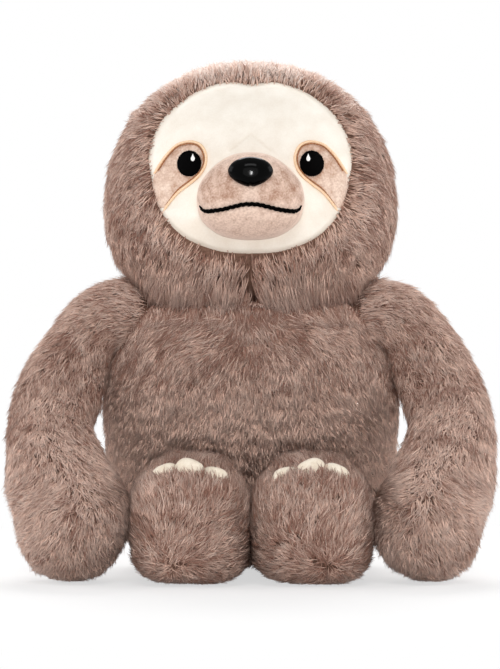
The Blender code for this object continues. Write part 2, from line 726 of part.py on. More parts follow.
for side, sign in SIDES.items():
    carrier = pivot(f"shoulder_axis_{side}", SHOULDER * (sign, 1, 1))
    outer = arm_rows(0, sign)
    cover = piece(
        f"arm_cover_{side}", skin(outer[::-1] + arm_rows(ARM_COVER_THICKNESS, sign)), PILE, carrier
    )
    floor_cut(cover, 0)
    fill_rows = arm_rows(ARM_COVER_THICKNESS + STUFFING_GAP, sign)
    piece(f"arm_stuffing_{side}", skin([disc_centre(fill_rows[0]), *fill_rows]), FILL, carrier)
    hollow = swing_cutter(outer, side)
    boolean(torso_cover, hollow)
    boolean(torso_stuffing, hollow)


# Legs with their stuffing, and the hollows that they swing in
SOLE_Y = -OVERALL_DEPTH / 2


def squared_circle(angles):
    """Places across and up at angles round a superellipse of the leg's two roundnesses."""
    c, s = np.cos(angles), np.sin(angles)
    power = 2 / np.where(s > 0, LEG_TOP_ROUNDNESS, LEG_SOLE_ROUNDNESS)
    return np.sign(c) * np.abs(c) ** power, np.sign(s) * np.abs(s) ** power


def leg_ring(x, y, inset, share):
    """An upright section across the leg, as a share of its full one: rounder above, squarer below."""
    angles = np.linspace(0, 2 * np.pi, LIMB_COLUMNS, endpoint=False)
    half_width, half_height = LEG_HALF_WIDTH * share - inset, LEG_HALF_HEIGHT * share - inset
    across, up = squared_circle(angles)
    return np.column_stack([x + half_width * across, np.full(LIMB_COLUMNS, y), LEG_Z + half_height * up])


def leg_rows(inset, sign):
    """Rings from the leg's root inside the torso to the rounded sole."""
    x = sign * LEG_X
    root_shares = (1.0, 0.6)
    rows = []
    for root_share in root_shares:
        back = HIP_ROOT_DEPTH * root_share
        share = np.sqrt(1 - (back / LEG_HALF_HEIGHT) ** 2)
        rows.append(leg_ring(x, HIP_Y + back, inset, share))
    front = SOLE_Y + inset
    for along, share in LEG_SHARES:
        y = HIP_Y + (front - HIP_Y) * along
        rows.append(leg_ring(x, y, min(inset, LEG_HALF_HEIGHT * share / 2), share))
    rows.append(np.array([[x, front, LEG_Z]]))
    return rows


def hip_cutter(side):
    """The space that the leg sweeps about its hip, as the hull of its turned section and its ends."""
    sign = SIDES[side]
    width = LEG_HALF_WIDTH + HIP_SIDE_CLEARANCE
    radius = (LEG_HALF_HEIGHT + TURNING_GAP) / np.cos(np.pi / COLUMNS)
    slices = np.linspace(0, 2 * np.pi, LIMB_COLUMNS, endpoint=False)
    across, up = squared_circle(slices)
    turns = np.linspace(0, 2 * np.pi, COLUMNS, endpoint=False)[:, None]
    x = sign * LEG_X + width * across + 0 * turns
    y, z = HIP_Y + radius * up * np.cos(turns), LEG_Z + radius * up * np.sin(turns)
    root = np.column_stack([x.ravel(), y.ravel(), z.ravel()])
    end = np.column_stack([
        sign * LEG_X + width * across, np.full(LIMB_COLUMNS, SOLE_Y), LEG_Z + radius * up
    ])
    lifted = turn_x(end, HIP_Y, LEG_Z, HIP_LIFT_DEGREES)
    bm = bmesh.new()
    for point in np.vstack([root, end, lifted]):
        bm.verts.new(point)
    bmesh.ops.convex_hull(bm, input=bm.verts)
    inner = [vertex for vertex in bm.verts if not vertex.link_faces]
    bmesh.ops.delete(bm, geom=inner, context="VERTS")
    bmesh.ops.recalc_face_normals(bm, faces=bm.faces)
    return cutter(f"hip_cutter_{side}", bm)


def claw_rows(place, sign, growth):
    """Rings along a claw from its root to its tip, which leans in the plane of the sole."""
    lean = sign * np.radians(CLAW_LEAN_DEGREES[place])
    along = np.array([np.sin(lean), 0, np.cos(lean)])
    across = np.array([np.cos(lean), 0, -np.sin(lean)])
    half_width, half_thickness = CLAW_HALF_WIDTH + growth, CLAW_HALF_THICKNESS + growth
    half_length = CLAW_HALF_LENGTH + growth
    tip_across, tip_up = CLAW_TIP_SHARES[place]
    tip = np.array([
        sign * (LEG_X + tip_across * LEG_HALF_WIDTH), SOLE_Y + CLAW_INSET_Y, LEG_Z + tip_up * LEG_HALF_HEIGHT
    ])
    centre = tip - along * CLAW_HALF_LENGTH
    turns = np.linspace(0, 2 * np.pi, 16, endpoint=False)[:, None]
    section = half_width * np.cos(turns) * across + half_thickness * np.sin(turns) * np.array([0, 1, 0])
    steps = np.linspace(0, np.pi, 9)[1:-1]
    power = 2 / CLAW_ROUNDNESS
    rings = [
        centre - along * half_length * np.sign(np.cos(step)) * np.abs(np.cos(step)) ** power
        + section * np.sin(step) ** power
        for step in steps
    ]
    return [(centre - along * half_length)[None], *rings, (centre + along * half_length)[None]]


for side, sign in SIDES.items():
    carrier = pivot(f"hip_axis_{side}", (sign * LEG_X, HIP_Y, LEG_Z))
    cover_rows = leg_rows(0, sign)[::-1] + leg_rows(LEG_COVER_THICKNESS, sign)
    cover = piece(f"leg_cover_{side}", skin(cover_rows), PILE, carrier)
    floor_cut(cover, 0)
    fill_rows = leg_rows(LEG_COVER_THICKNESS + STUFFING_GAP, sign)
    piece(f"leg_stuffing_{side}", skin([disc_centre(fill_rows[0]), *fill_rows]), FILL, carrier)
    hollow = hip_cutter(side)
    boolean(torso_cover, hollow)
    boolean(torso_stuffing, hollow)

    # Claws seated on the top of this foot, with room for the middle one between the others
    seat = cutter(f"claw_seat_{side}", skin([
        disc_centre(leg_rows(-SEAM_GAP, sign)[0]), *leg_rows(-SEAM_GAP, sign)
    ]))
    room = cutter(f"claw_room_{side}", skin(claw_rows("middle", sign, SEAM_GAP)))
    for place in CLAW_TIP_SHARES:
        claw = piece(f"claw_{place}_{side}", skin(claw_rows(place, sign, 0)), CLAW, carrier)
        boolean(claw, seat)
        if place != "middle":
            boolean(claw, room)
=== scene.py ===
"""Looks of the seated plush sloth: combed pile on stuffed skins, a velour face, stitched eyes and mouth.

Lengths are in metres in the frame of the CAD: +Z is up, the toy faces -Y, its own left side is at +X.
"""
import bpy
import numpy as np
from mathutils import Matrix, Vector


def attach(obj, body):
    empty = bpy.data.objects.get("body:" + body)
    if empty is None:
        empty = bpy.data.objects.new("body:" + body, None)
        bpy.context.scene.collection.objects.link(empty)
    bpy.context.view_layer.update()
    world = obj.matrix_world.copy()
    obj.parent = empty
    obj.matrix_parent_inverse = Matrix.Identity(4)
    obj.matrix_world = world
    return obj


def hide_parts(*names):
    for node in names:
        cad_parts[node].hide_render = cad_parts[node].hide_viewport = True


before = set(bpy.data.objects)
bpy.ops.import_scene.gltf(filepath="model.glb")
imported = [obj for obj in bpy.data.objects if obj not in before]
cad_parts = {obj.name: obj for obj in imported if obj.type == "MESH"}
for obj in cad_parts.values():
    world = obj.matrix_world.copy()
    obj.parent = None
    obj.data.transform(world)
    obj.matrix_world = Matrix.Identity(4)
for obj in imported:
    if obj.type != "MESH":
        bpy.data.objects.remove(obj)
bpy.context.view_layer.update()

# Torso skin
# The torso is a stuffed bag of knitted cloth, wide at the belly and drawn in at the neck seam.
# Its rings come from a table of shares, and it is hollowed where the arms and the legs are sewn in.
SIDES = {"left": 1, "right": -1}
SPINE_Y, PILE_DEPTH = 0.027, 0.0032


def linear(hex_colour):
    """An sRGB hex colour as linear red, green, blue and alpha."""
    channels = np.array([int(hex_colour[i : i + 2], 16) for i in (1, 3, 5)]) / 255
    low, high = channels / 12.92, ((channels + 0.055) / 1.055) ** 2.4
    return (*np.where(channels <= 0.04045, low, high), 1.0)


def fill(tree, node, inputs):
    """Give a node's inputs their values, or links where these are other nodes' outputs."""
    for key, value in inputs.items():
        if isinstance(value, bpy.types.NodeSocket):
            tree.links.new(value, node.inputs[key])
        else:
            node.inputs[key].default_value = value


def add(tree, kind, inputs=None, stops=None, **settings):
    """The outputs of a new node with its inputs and settings; stops are a ramp's places and colours."""
    made = tree.nodes.new(kind)
    for key, value in settings.items():
        setattr(made, key, value)
    fill(tree, made, inputs or {})
    if stops:
        elements = made.color_ramp.elements
        while len(elements) < len(stops):
            elements.new(0.5)
        for element, (place, colour) in zip(elements, stops):
            element.position, element.color = place, linear(colour)
    return made.outputs


def surface_material(name, roughness, sheen=0.0):
    """A new material, its tree and its Principled shader."""
    material = bpy.data.materials.new(name)
    material.use_nodes = True
    tree = material.node_tree
    shader = tree.nodes["Principled BSDF"]
    fill(tree, shader, {"Roughness": roughness, "Sheen Weight": sheen, "Specular IOR Level": 0.25})
    return material, tree, shader


def grained(name, roughness, scale, dark, pale, detail=2.0):
    """A material whose colour runs from dark to pale with a noise of so many grains a metre."""
    material, tree, shader = surface_material(name, roughness)
    place = add(tree, "ShaderNodeTexCoord")["Object"]
    grain = add(tree, "ShaderNodeTexNoise", {"Vector": place, "Scale": scale, "Detail": detail})
    tone = add(tree, "ShaderNodeValToRGB", {"Fac": grain["Fac"]}, stops=((0.3, dark), (0.7, pale)))
    fill(tree, shader, {"Base Color": tone["Color"]})
    return material


def smooth_line(points, count):
    """Places at even steps along a cubic curve through an open row of points."""
    points = np.asarray(points, float)
    return blend_through(np.vstack([2 * points[0] - points[1], points, 2 * points[-1] - points[-2]]), count)


def blend_through(padded, count):
    """A cubic curve through all but the first and last points, resampled by its length."""
    spans = len(padded) - 3
    fine = np.linspace(0, spans, spans * 16 + 1)
    span = np.minimum(fine.astype(int), spans - 1)
    t = (fine - span)[:, None]
    before, start, end, after = (padded[span + k] for k in range(4))
    curve = 0.5 * (
        2 * start
        + (end - before) * t
        + (2 * before - 5 * start + 4 * end - after) * t**2
        + (3 * start - before - 3 * end + after) * t**3
    )
    along = np.append(0, np.cumsum(np.linalg.norm(np.diff(curve, axis=0), axis=1)))
    even = np.linspace(0, along[-1], count)
    return np.column_stack([np.interp(even, along, column) for column in curve.T])


def unit(vectors):
    """Vectors scaled to a length of one."""
    return vectors / np.maximum(np.linalg.norm(vectors, axis=-1, keepdims=True), 1e-9)


def waves(points, wave, seed):
    """Smooth noise of about -1 to 1: a sum of nine sine waves in random directions, near one wavelength."""
    rng = np.random.default_rng(seed)
    total = np.zeros(len(points))
    for _ in range(9):
        direction = unit(rng.normal(size=3)) * 2 * np.pi / (wave * rng.uniform(0.7, 1.5))
        total += np.sin(points @ direction + rng.uniform(0, 2 * np.pi))
    return total / 3


def ease(value):
    """A smooth step from 0 to 1: 3 v squared minus 2 v cubed, with v held between 0 and 1."""
    held = np.clip(value, 0, 1)
    return held * held * (3 - 2 * held)


def peak(value):
    """A smooth bump: exp(-value squared), 1 at 0 and nearly 0 from 2 on."""
    return np.exp(-(value**2))


def around(count):
    """Angles at even steps round a full turn."""
    return np.linspace(0, 2 * np.pi, count, endpoint=False)


def closed(rows):
    """A closed skin: the points of rows that are rings, or poles of one point, and the triangles between."""
    counts = [len(row) for row in rows]
    starts = np.append(0, np.cumsum(counts))
    made = []
    for low, high, first, second in zip(counts, counts[1:], starts, starts[1:]):
        ring = np.arange(max(low, high))
        after = (ring + 1) % len(ring)
        a, b = first + ring % low, first + after % low
        c, d = second + after % high, second + ring % high
        if low > 1:
            made.append(np.column_stack([a, b, c]))
        if high > 1:
            made.append(np.column_stack([a, c, d]))
    return np.vstack(rows), np.vstack(made)


def shown(name, body, material, skin, replaces=(), uv=None, nap_and_shade=None):
    """A smooth mesh of triangles that rides on a body, with its faces outward.

    skin is its points and faces. uv holds a place for each point in the map OFBake, and the last argument a
    share for each point in an attribute of the nap's tone and painted shade.
    """
    points, faces = skin
    corner = points[faces]
    if uv is None and (corner[:, 0] * np.cross(corner[:, 1], corner[:, 2])).sum() < 0:
        faces = faces[:, ::-1]
    mesh = bpy.data.meshes.new(name)
    mesh.vertices.add(len(points))
    mesh.vertices.foreach_set("co", np.ascontiguousarray(points, np.float32).ravel())
    mesh.loops.add(faces.size)
    mesh.loops.foreach_set("vertex_index", np.ascontiguousarray(faces, np.int32).ravel())
    mesh.polygons.add(len(faces))
    mesh.polygons.foreach_set("loop_start", np.arange(0, faces.size, 3, dtype=np.int32))
    if uv is not None:
        layer = mesh.uv_layers.new(name="OFBake")
        layer.data.foreach_set("uv", np.ascontiguousarray(uv[faces.ravel()], np.float32).ravel())
    if nap_and_shade is not None:
        mesh.attributes.new("nap_and_shade", "FLOAT", "POINT").data.foreach_set("value", nap_and_shade.astype(np.float32))
    mesh.update(calc_edges=True)
    mesh.shade_smooth()
    mesh.materials.append(material)
    made = bpy.data.objects.new(name, mesh)
    bpy.context.collection.objects.link(made)
    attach(made, body)
    if replaces:
        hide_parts(*replaces)


def vertex_normals(points, faces):
    """Unit normals at the points: the sum of the cross products of the faces around each."""
    corner = points[faces]
    across = np.cross(corner[:, 1] - corner[:, 0], corner[:, 2] - corner[:, 0])
    if (corner[:, 0] * across).sum() < 0:
        across = -across
    total = np.zeros_like(points)
    for k in range(3):
        np.add.at(total, faces[:, k], across)
    return unit(total)


TORSO_HALF_WIDTH, TORSO_HALF_DEPTH, NECK_Z, SHOULDER_RISE = 0.0886, 0.06, 0.155, 0.011
TORSO_RINGS, TORSO_COLUMNS = 72, 128
# rings from the seat to the neck: shares of the height, width and depth, and of the shoulders' rise
TORSO_SHARES = (
    (0.0, 0.60, 0.50, 0), (0.035, 0.73, 0.66, 0), (0.11, 0.85, 0.82, 0), (0.23, 0.93, 0.93, 0),
    (0.40, 0.98, 0.99, 0), (0.57, 1.0, 1.0, 0), (0.73, 0.97, 0.975, 0.1), (0.86, 0.91, 0.925, 0.5),
    (0.94, 0.84, 0.88, 1), (0.985, 0.71, 0.83, 0.8), (1.0, 0.53, 0.78, 0),
)
LEG_X, LEG_Z, HIP_Y = 0.0334, 0.035, -0.024
HIP_HOLLOW_WIDTH, HIP_HOLLOW_HEIGHT = 0.0345, 0.0375
# the arm's line from the shoulder to the hand, and its radii across and along the torso
ARM_TABLE = smooth_line(
    (
        (0.058, 0.025, 0.149, 0.0160, 0.0160), (0.065, 0.025, 0.149, 0.0195, 0.0195),
        (0.072, 0.025, 0.149, 0.0212, 0.0212), (0.080, 0.024, 0.147, 0.0218, 0.0218),
        (0.090, 0.022, 0.141, 0.0218, 0.0222), (0.100, 0.018, 0.129, 0.0220, 0.0235),
        (0.110, 0.008, 0.106, 0.0250, 0.0255), (0.1135, -0.012, 0.082, 0.0260, 0.0270),
        (0.108, -0.035, 0.060, 0.0290, 0.0310), (0.0986, -0.055, 0.0352, 0.0310, 0.0360),
    ),
    56,
)
# the height at which the arms stand off the torso, and how far up and down they do
ARM_GAP_Z, ARM_GAP_REACH = 0.078, 0.014
ARM_CREASE_DEPTH, ARM_CREASE_REACH = 0.0035, 0.0045


def arm_gap(points):
    """How far points lie outside the balls along the nearer arm's line; less than 0 is inside."""
    folded = points * (0, 1, 1) + np.abs(points[:, :1]) * (1, 0, 0)
    gap = np.full(len(points), np.inf)
    for *centre, radius, _ in ARM_TABLE:
        gap = np.minimum(gap, np.linalg.norm(folded - centre, axis=1) - radius)
    return gap


def torso_form(inset):
    """The torso: ellipses whose height, width, depth and rise are shares from the table."""
    table = smooth_line(TORSO_SHARES, TORSO_RINGS)
    angles = around(TORSO_COLUMNS)
    height, width, depth, rise = (column[:, None] for column in table.T)
    x = (TORSO_HALF_WIDTH * width - inset) * np.cos(angles)
    y = SPINE_Y + (TORSO_HALF_DEPTH * depth - inset) * np.sin(angles)
    z = inset + (NECK_Z - inset) * height + (SHOULDER_RISE - inset) * rise * np.cos(angles) ** 2
    rings = np.stack([x, y, z + 0 * x], axis=-1)
    return closed([rings[:1].mean(axis=1), *rings, rings[-1:].mean(axis=1)])


torso_at, torso_faces = torso_form(PILE_DEPTH)
torso_normals = vertex_normals(torso_at, torso_faces)
torso_at += torso_normals * (0.0009 * waves(torso_at, 0.05, 3))[:, None]
torso_at[:, 0] *= 1 - 0.018 * peak((torso_at[:, 2] - ARM_GAP_Z) / ARM_GAP_REACH)
for sign in SIDES.values():
    # a hollow for each hip: points in front of the hip's ball move back onto it
    off_x = (torso_at[:, 0] - sign * LEG_X) / HIP_HOLLOW_WIDTH
    off_z = (torso_at[:, 2] - LEG_Z) / HIP_HOLLOW_HEIGHT
    ball = 1 - off_x**2 - off_z**2
    hip_back = HIP_Y + HIP_HOLLOW_HEIGHT * np.sqrt(np.maximum(ball, 0))
    front = (ball > 0) & (torso_at[:, 1] < hip_back)
    torso_at[front, 1] = hip_back[front]
# the seam of each arm draws the front of the torso in
crease = peak(arm_gap(torso_at) / ARM_CREASE_REACH)
crease = crease * ease((torso_at[:, 2] - 0.120) / 0.012) * (torso_at[:, 1] < SPINE_Y)
torso_at -= torso_normals * (ARM_CREASE_DEPTH * crease)[:, None]

# knitted polyester, matt and mottled brown, darker than the locks as painted shade under the pile; its loops
# are 1.1 mm
backing = grained("knitted_pile_backing_with_painted_shade", 0.95, 900.0, "#6a4e41", "#866657", detail=3.0)
shown(
    "torso_skin", "torso", backing, (torso_at, torso_faces),
    replaces=("torso_cover", "torso_stuffing"),
)

# Pile of the torso
# Locks of taupe pile are rooted on the skin, lean along the combed direction and part around a whorl
# on the chest. Each lock is a thin closed spindle, and locks are gathered into tufts.

# brushed polyester fibre, matt with a faint shine: darker towards its root and paler towards its sheared
# tip, painted shade of the pile's depth; u runs over the lock's tone, from dark to pale, and v from its root
# to its tip
FIBRE_TONES = {
    "dark": ("#4b2e23", "#916858", "#ac8474"),
    "pale": ("#94705c", "#f1cdba", "#fce7db"),
    "painted_sheen": ("#a1867a", "#ecd7cc", "#f8ece5"),
}
fibre, tree, shader = surface_material("taupe_pile_fibre", 0.6)
place = add(tree, "ShaderNodeUVMap", uv_map="OFBake")
parts = add(tree, "ShaderNodeSeparateXYZ", {"Vector": place["UV"]})
dark, pale, painted_sheen = (
    add(tree, "ShaderNodeValToRGB", {"Fac": parts["Y"]}, stops=tuple(zip((0.0, 0.45, 1.0), tones)))
    for tones in FIBRE_TONES.values()
)
mixed = add(
    tree, "ShaderNodeMix", data_type="RGBA",
    inputs={"Factor": parts["X"], "A": dark["Color"], "B": pale["Color"]},
)
# the palest locks, which stand on the crown, turn greyer: a painted sheen of light on the crown
painted_sheen_share = add(
    tree, "ShaderNodeMapRange", {"Value": parts["X"], "From Min": 0.90, "From Max": 0.98, "To Max": 0.8}
)
mixed = add(
    tree, "ShaderNodeMix", data_type="RGBA",
    inputs={"Factor": painted_sheen_share["Result"], "A": mixed["Result"], "B": painted_sheen["Color"]},
)
fill(tree, shader, {"Base Color": mixed["Result"], "Specular IOR Level": 0.18})
LENGTH, ROOT_SINK = 0.0104, 0.0008
# a lock stands for several fibres, and is as wide as it can be without looking coarse
PILE_WIDTH, BACK_WIDTH = 0.00056, 0.00064
TUFT_LOCKS, TUFT_SPREAD = 8, 0.0020
# the angles in degrees at which a lock leaves the skin and goes on
LIFT = np.array([[35], [5]])
# where pile lies that is pressed on the floor, and how fast it comes down to it, in 1/m
PRESSED_Z, PRESS_RATE = 0.0005, 900
# no pile is rooted lower than this on the arms and legs
BARE_Z = 0.003


def everywhere(value):
    """A function of places that gives the same value at each."""
    return lambda points: np.full(len(points), float(value))


def pile(name, body, skin, comb, locks, length, seed, bare, weight=everywhere(1), paler=everywhere(0),
         stand=everywhere(0), hang=everywhere(0), contrast=everywhere(1), width=PILE_WIDTH):
    """Locks of pile on a skin, combed along a flow.

    Tufts are rooted at random by area times weight, and none where bare. A lock starts near its tuft's
    root, rises by the first lift angle for 0.4 of its length, bends to the second angle and to its
    tuft's curl, and its tip is drawn more than half way back to its tuft. It is a spindle of a root, a
    ring of three and a tip. paler and contrast shift and scale the tufts' tone, stand adds degrees to
    the lift, and hang is a drop as a share of the length, each by place.
    """
    rng = np.random.default_rng(seed)
    points, faces = skin
    normals = vertex_normals(points, faces)
    corner = points[faces]
    area = np.linalg.norm(np.cross(corner[:, 1] - corner[:, 0], corner[:, 2] - corner[:, 0]), axis=1)
    middle = corner.mean(axis=1)
    chance = area * weight(middle) * ~bare(middle)
    tufts = locks // TUFT_LOCKS
    even = (np.arange(tufts) + rng.random(tufts)) / tufts
    pick = np.minimum(np.searchsorted(np.cumsum(chance) / chance.sum(), even), len(area) - 1)
    share = rng.dirichlet((1, 1, 1), tufts)[:, :, None]
    root = (corner[pick] * share).sum(axis=1)
    normal = unit((normals[faces[pick]] * share).sum(axis=1))
    combed = comb(root)
    flow = unit(combed - normal * (combed * normal).sum(axis=1)[:, None])
    side = np.cross(normal, flow)
    swirl = (0.24 * waves(root, 0.05, seed + 1) + 0.12 * waves(root, 0.018, seed + 2))[:, None]
    swirl = swirl + rng.normal(0, 0.06, (tufts, 1))
    flow = flow * np.cos(swirl) + side * np.sin(swirl)
    tuft_length = length(root) * (1 + 0.06 * waves(root, 0.02, seed + 3)) * rng.uniform(0.88, 1.1, tufts)
    tuft_length = tuft_length * (0.7 + 0.3 * ease(root[:, 2] / 0.012))
    tuft_tone = 0.5 + 0.10 * waves(root, 0.03, seed + 4) + 0.10 * waves(root, 0.009, seed + 6)
    tuft_tone = tuft_tone + rng.normal(0, 0.18, tufts) * contrast(root) + paler(root)
    tuft_lift = rng.normal(0, 3, tufts) + 5 * waves(root, 0.010, seed + 5) + stand(root)

    def each(values):
        """The values of the tufts, once for each of their locks."""
        return np.repeat(values, TUFT_LOCKS, axis=0)

    strength, tuft_drop = each(contrast(root)), each(hang(root))[:, None]
    curl = each(0.12 * waves(root, 0.016, seed + 7) + rng.normal(0, 0.08, tufts))[:, None]
    root, normal, flow = each(root), each(normal), each(flow)
    side = np.cross(normal, flow)
    count = len(root)
    ahead, aside = rng.normal(0, TUFT_SPREAD, (2, count, 1))
    offset = ahead * flow + aside * side
    turn = rng.normal(0, 0.09, (count, 1))
    lean = flow * np.cos(turn) + side * np.sin(turn)
    bent = flow * np.cos(turn + curl) + side * np.sin(turn + curl)
    rise = np.radians(each(tuft_lift) + rng.normal(0, 4, count) + LIFT)
    rise = np.clip(rise, 0.03, 1.5)[:, :, None]
    reach = (each(tuft_length) * rng.uniform(0.72, 1.06, count))[:, None]
    start = root + offset - normal * ROOT_SINK
    mid = start + 0.4 * reach * (normal * np.sin(rise[0]) + lean * np.cos(rise[0])) - 0.12 * offset
    tip = mid + 0.6 * reach * (normal * np.sin(rise[1]) + bent * np.cos(rise[1])) - 0.58 * offset
    drop = tuft_drop * reach * (0, 0, 1)
    mid, tip = mid - 0.3 * drop, tip - drop
    along = unit(tip - start)
    across = unit(np.cross(along, normal))
    upward = np.cross(across, along)
    half = 0.5 * width * rng.uniform(0.7, 1.3, (count, 1))
    ring = (
        mid + half * (across - 0.3 * upward), mid - half * (across + 0.3 * upward),
        mid + half * 0.6 * upward,
    )
    points = np.stack([start, *ring, tip], axis=1).reshape(-1, 3)
    # what would pass the floor is pressed flat just above it
    pressed = PRESSED_Z + PRESSED_Z * np.exp(np.minimum(points[:, 2], 0) * PRESS_RATE)
    points[:, 2] = np.where(points[:, 2] < 2 * PRESSED_Z, pressed, points[:, 2])
    pattern = np.array([[0, 1, 3], [0, 3, 2], [0, 2, 1], [4, 3, 1], [4, 2, 3], [4, 1, 2]])
    faces = (np.arange(count)[:, None, None] * 5 + pattern).reshape(-1, 3)
    # only the crown has the palest tones, which the material turns grey as a painted sheen
    palest = 0.90 + 0.08 * ease((root[:, 2] - 0.255) / 0.02)
    lock_tone = np.clip(each(tuft_tone) + rng.normal(0, 0.14, count) * strength, 0.02, palest)
    uv = np.column_stack([np.repeat(lock_tone, 5), np.tile([0.02, 0.5, 0.5, 0.5, 0.98], count)])
    shown(name, body, fibre, (points, faces), uv=uv)


LEG_HALF_WIDTH, LEG_HALF_HEIGHT = 0.0326, 0.0355
CHEST_WHORL = np.array([0.001, -0.026, 0.146])
DOWN = np.array([0, 0, -1.0])
# the chest's locks and the belly's are two pieces, which meet at this height
CHEST_Z = 0.105


def torso_bare(points):
    """Where the torso carries no pile: under the arms' roots and the legs, on the seat and in the neck."""
    x, y, z = np.abs(points[:, 0]), points[:, 1], points[:, 2]
    leg = ((x - LEG_X) / LEG_HALF_WIDTH) ** 2 + ((z - LEG_Z) / LEG_HALF_HEIGHT) ** 2
    return (arm_gap(points) < -0.003) | ((leg < 1.05) & (y < 0)) | (z < 0.005) | (z > 0.162)


def near(points, place, reach):
    """1 at a place, falling to 0 away from it: exp(-(distance / reach) squared)."""
    return np.exp(-((points - place) ** 2).sum(axis=1) / reach**2)


def away_from(points, place, soft):
    """Directions away from a place, shorter within the soft distance: offset / (distance + soft)."""
    offset = points - place
    return offset / (np.linalg.norm(offset, axis=1, keepdims=True) + soft)


def torso_comb(points):
    """Outward from the chest whorl, over the neck's ledge, and straight down at the sides and back."""
    x, y, z = np.abs(points[:, :1]), points[:, 1:2], points[:, 2:]
    front = ease((0.03 - y) / 0.05)
    front = front * (1 - ease((x - 0.050) / 0.025) * ease((z - 0.09) / 0.02))
    spread = (0.7 + 0.6 * ease((z - 0.115) / 0.02)) * front
    flow = spread * away_from(points, CHEST_WHORL, 0.012) + (0.75 + 0.25 * (1 - front)) * DOWN
    ledge = ease((z - 0.144) / 0.008) * np.sign(y - SPINE_Y)
    return flow * (1 - 0.8 * np.abs(ledge)) + ledge * (0, 1, 0)


def beside_arm(points):
    """1 in the fold where an arm is sewn on, 0 away from it."""
    return peak(arm_gap(points) / 0.006) * ease((points[:, 2] - 0.095) / 0.010)


def torso_length(points):
    """Shorter locks in the fold beside each arm."""
    return LENGTH * (1 - 0.40 * beside_arm(points))


def over_ledge(points):
    """How far the pile of the neck's ledge hangs, as a share of its length."""
    return 0.5 * ease((points[:, 2] - 0.146) / 0.008)


def torso_painted_light_and_shade(points):
    """Painted light and shade: paler locks on the belly, which lies in shade, and darker ones below the neck
    and in the fold beside each arm, where shade falls.
    """
    painted_neck_shade = 0.25 * near(points, CHEST_WHORL, 0.016) + 0.20 * ease((points[:, 2] - 0.146) / 0.006)
    return 0.42 * ease((0.125 - points[:, 2]) / 0.04) - 0.05 - 0.35 * beside_arm(points) - painted_neck_shade


torso_cloth = (torso_at, torso_faces)
pile(
    "torso_pile_chest", "torso", torso_cloth, torso_comb, 31000, torso_length, 11,
    weight=lambda p: 1 + 1.2 * near(p, CHEST_WHORL, 0.012), hang=over_ledge, paler=torso_painted_light_and_shade,
    contrast=everywhere(1.35),
    bare=lambda p: torso_bare(p) | (p[:, 1] > SPINE_Y) | (p[:, 2] < CHEST_Z),
)
pile(
    "torso_pile_belly", "torso", torso_cloth, torso_comb, 32000, everywhere(LENGTH), 13,
    weight=lambda p: 0.5 + ease((p[:, 2] - 0.045) / 0.02), paler=torso_painted_light_and_shade, contrast=everywhere(0.9),
    bare=lambda p: torso_bare(p) | (p[:, 1] > SPINE_Y) | (p[:, 2] >= CHEST_Z),
)
pile(
    "torso_pile_back", "torso", torso_cloth, torso_comb, 22400, everywhere(LENGTH), 12,
    hang=over_ledge, bare=lambda p: torso_bare(p) | (p[:, 1] <= SPINE_Y), width=BACK_WIDTH,
)

# Arms
# Each arm is a long stuffed tube of pile plush with a rounded hand, flat where it rests on the floor. The
# pile flows down the arm and outward from a parting along its front, and turns about a whorl on the hand.
HAND_CAP, ARM_COLUMNS = 0.036, 56
HAND_WHORL = np.array([0.0905, -0.100, 0.052])
# the upper arm's locks and the hand's are two pieces, which meet at this height
WRIST_Z = 0.078
# how far skins stay above the floor, under pressed pile
FLOOR_GAP = 0.0015


def arm_form(inset, sign):
    """An arm: rings across the arm's line with the table's radii, and a rounded end for the hand."""
    line, radii = ARM_TABLE[:, :3], ARM_TABLE[:, 3:] - inset
    ahead = np.gradient(line, axis=0)
    ahead[0] = (1, 0, 0)
    ahead = unit(ahead)
    outward = np.array([0.0, 0.0, 1.0])
    angles = around(ARM_COLUMNS)[:, None]
    rows = [line[:1]]
    for centre, direction, (side, fore) in zip(line, ahead, radii):
        outward = unit(outward - direction * outward.dot(direction))
        across = np.cross(direction, outward)
        rows.append(centre + side * np.cos(angles) * outward + fore * np.sin(angles) * across)
    for turn in np.radians([12, 24, 36, 48, 60, 70, 80]):
        centre = line[-1] + ahead[-1] * (HAND_CAP - inset) * np.sin(turn)
        rows.append(centre + (rows[len(line)] - line[-1]) * np.cos(turn))
    rows.append(line[-1:] + ahead[-1] * (HAND_CAP - inset))
    return closed([row * (sign, 1, 1) for row in rows])


def front_weight(points):
    """More locks at the front, which is seen first: 1.3 there and 0.75 at the back."""
    return 1.3 - 0.55 * ease((points[:, 1] - 0.01) / 0.03)


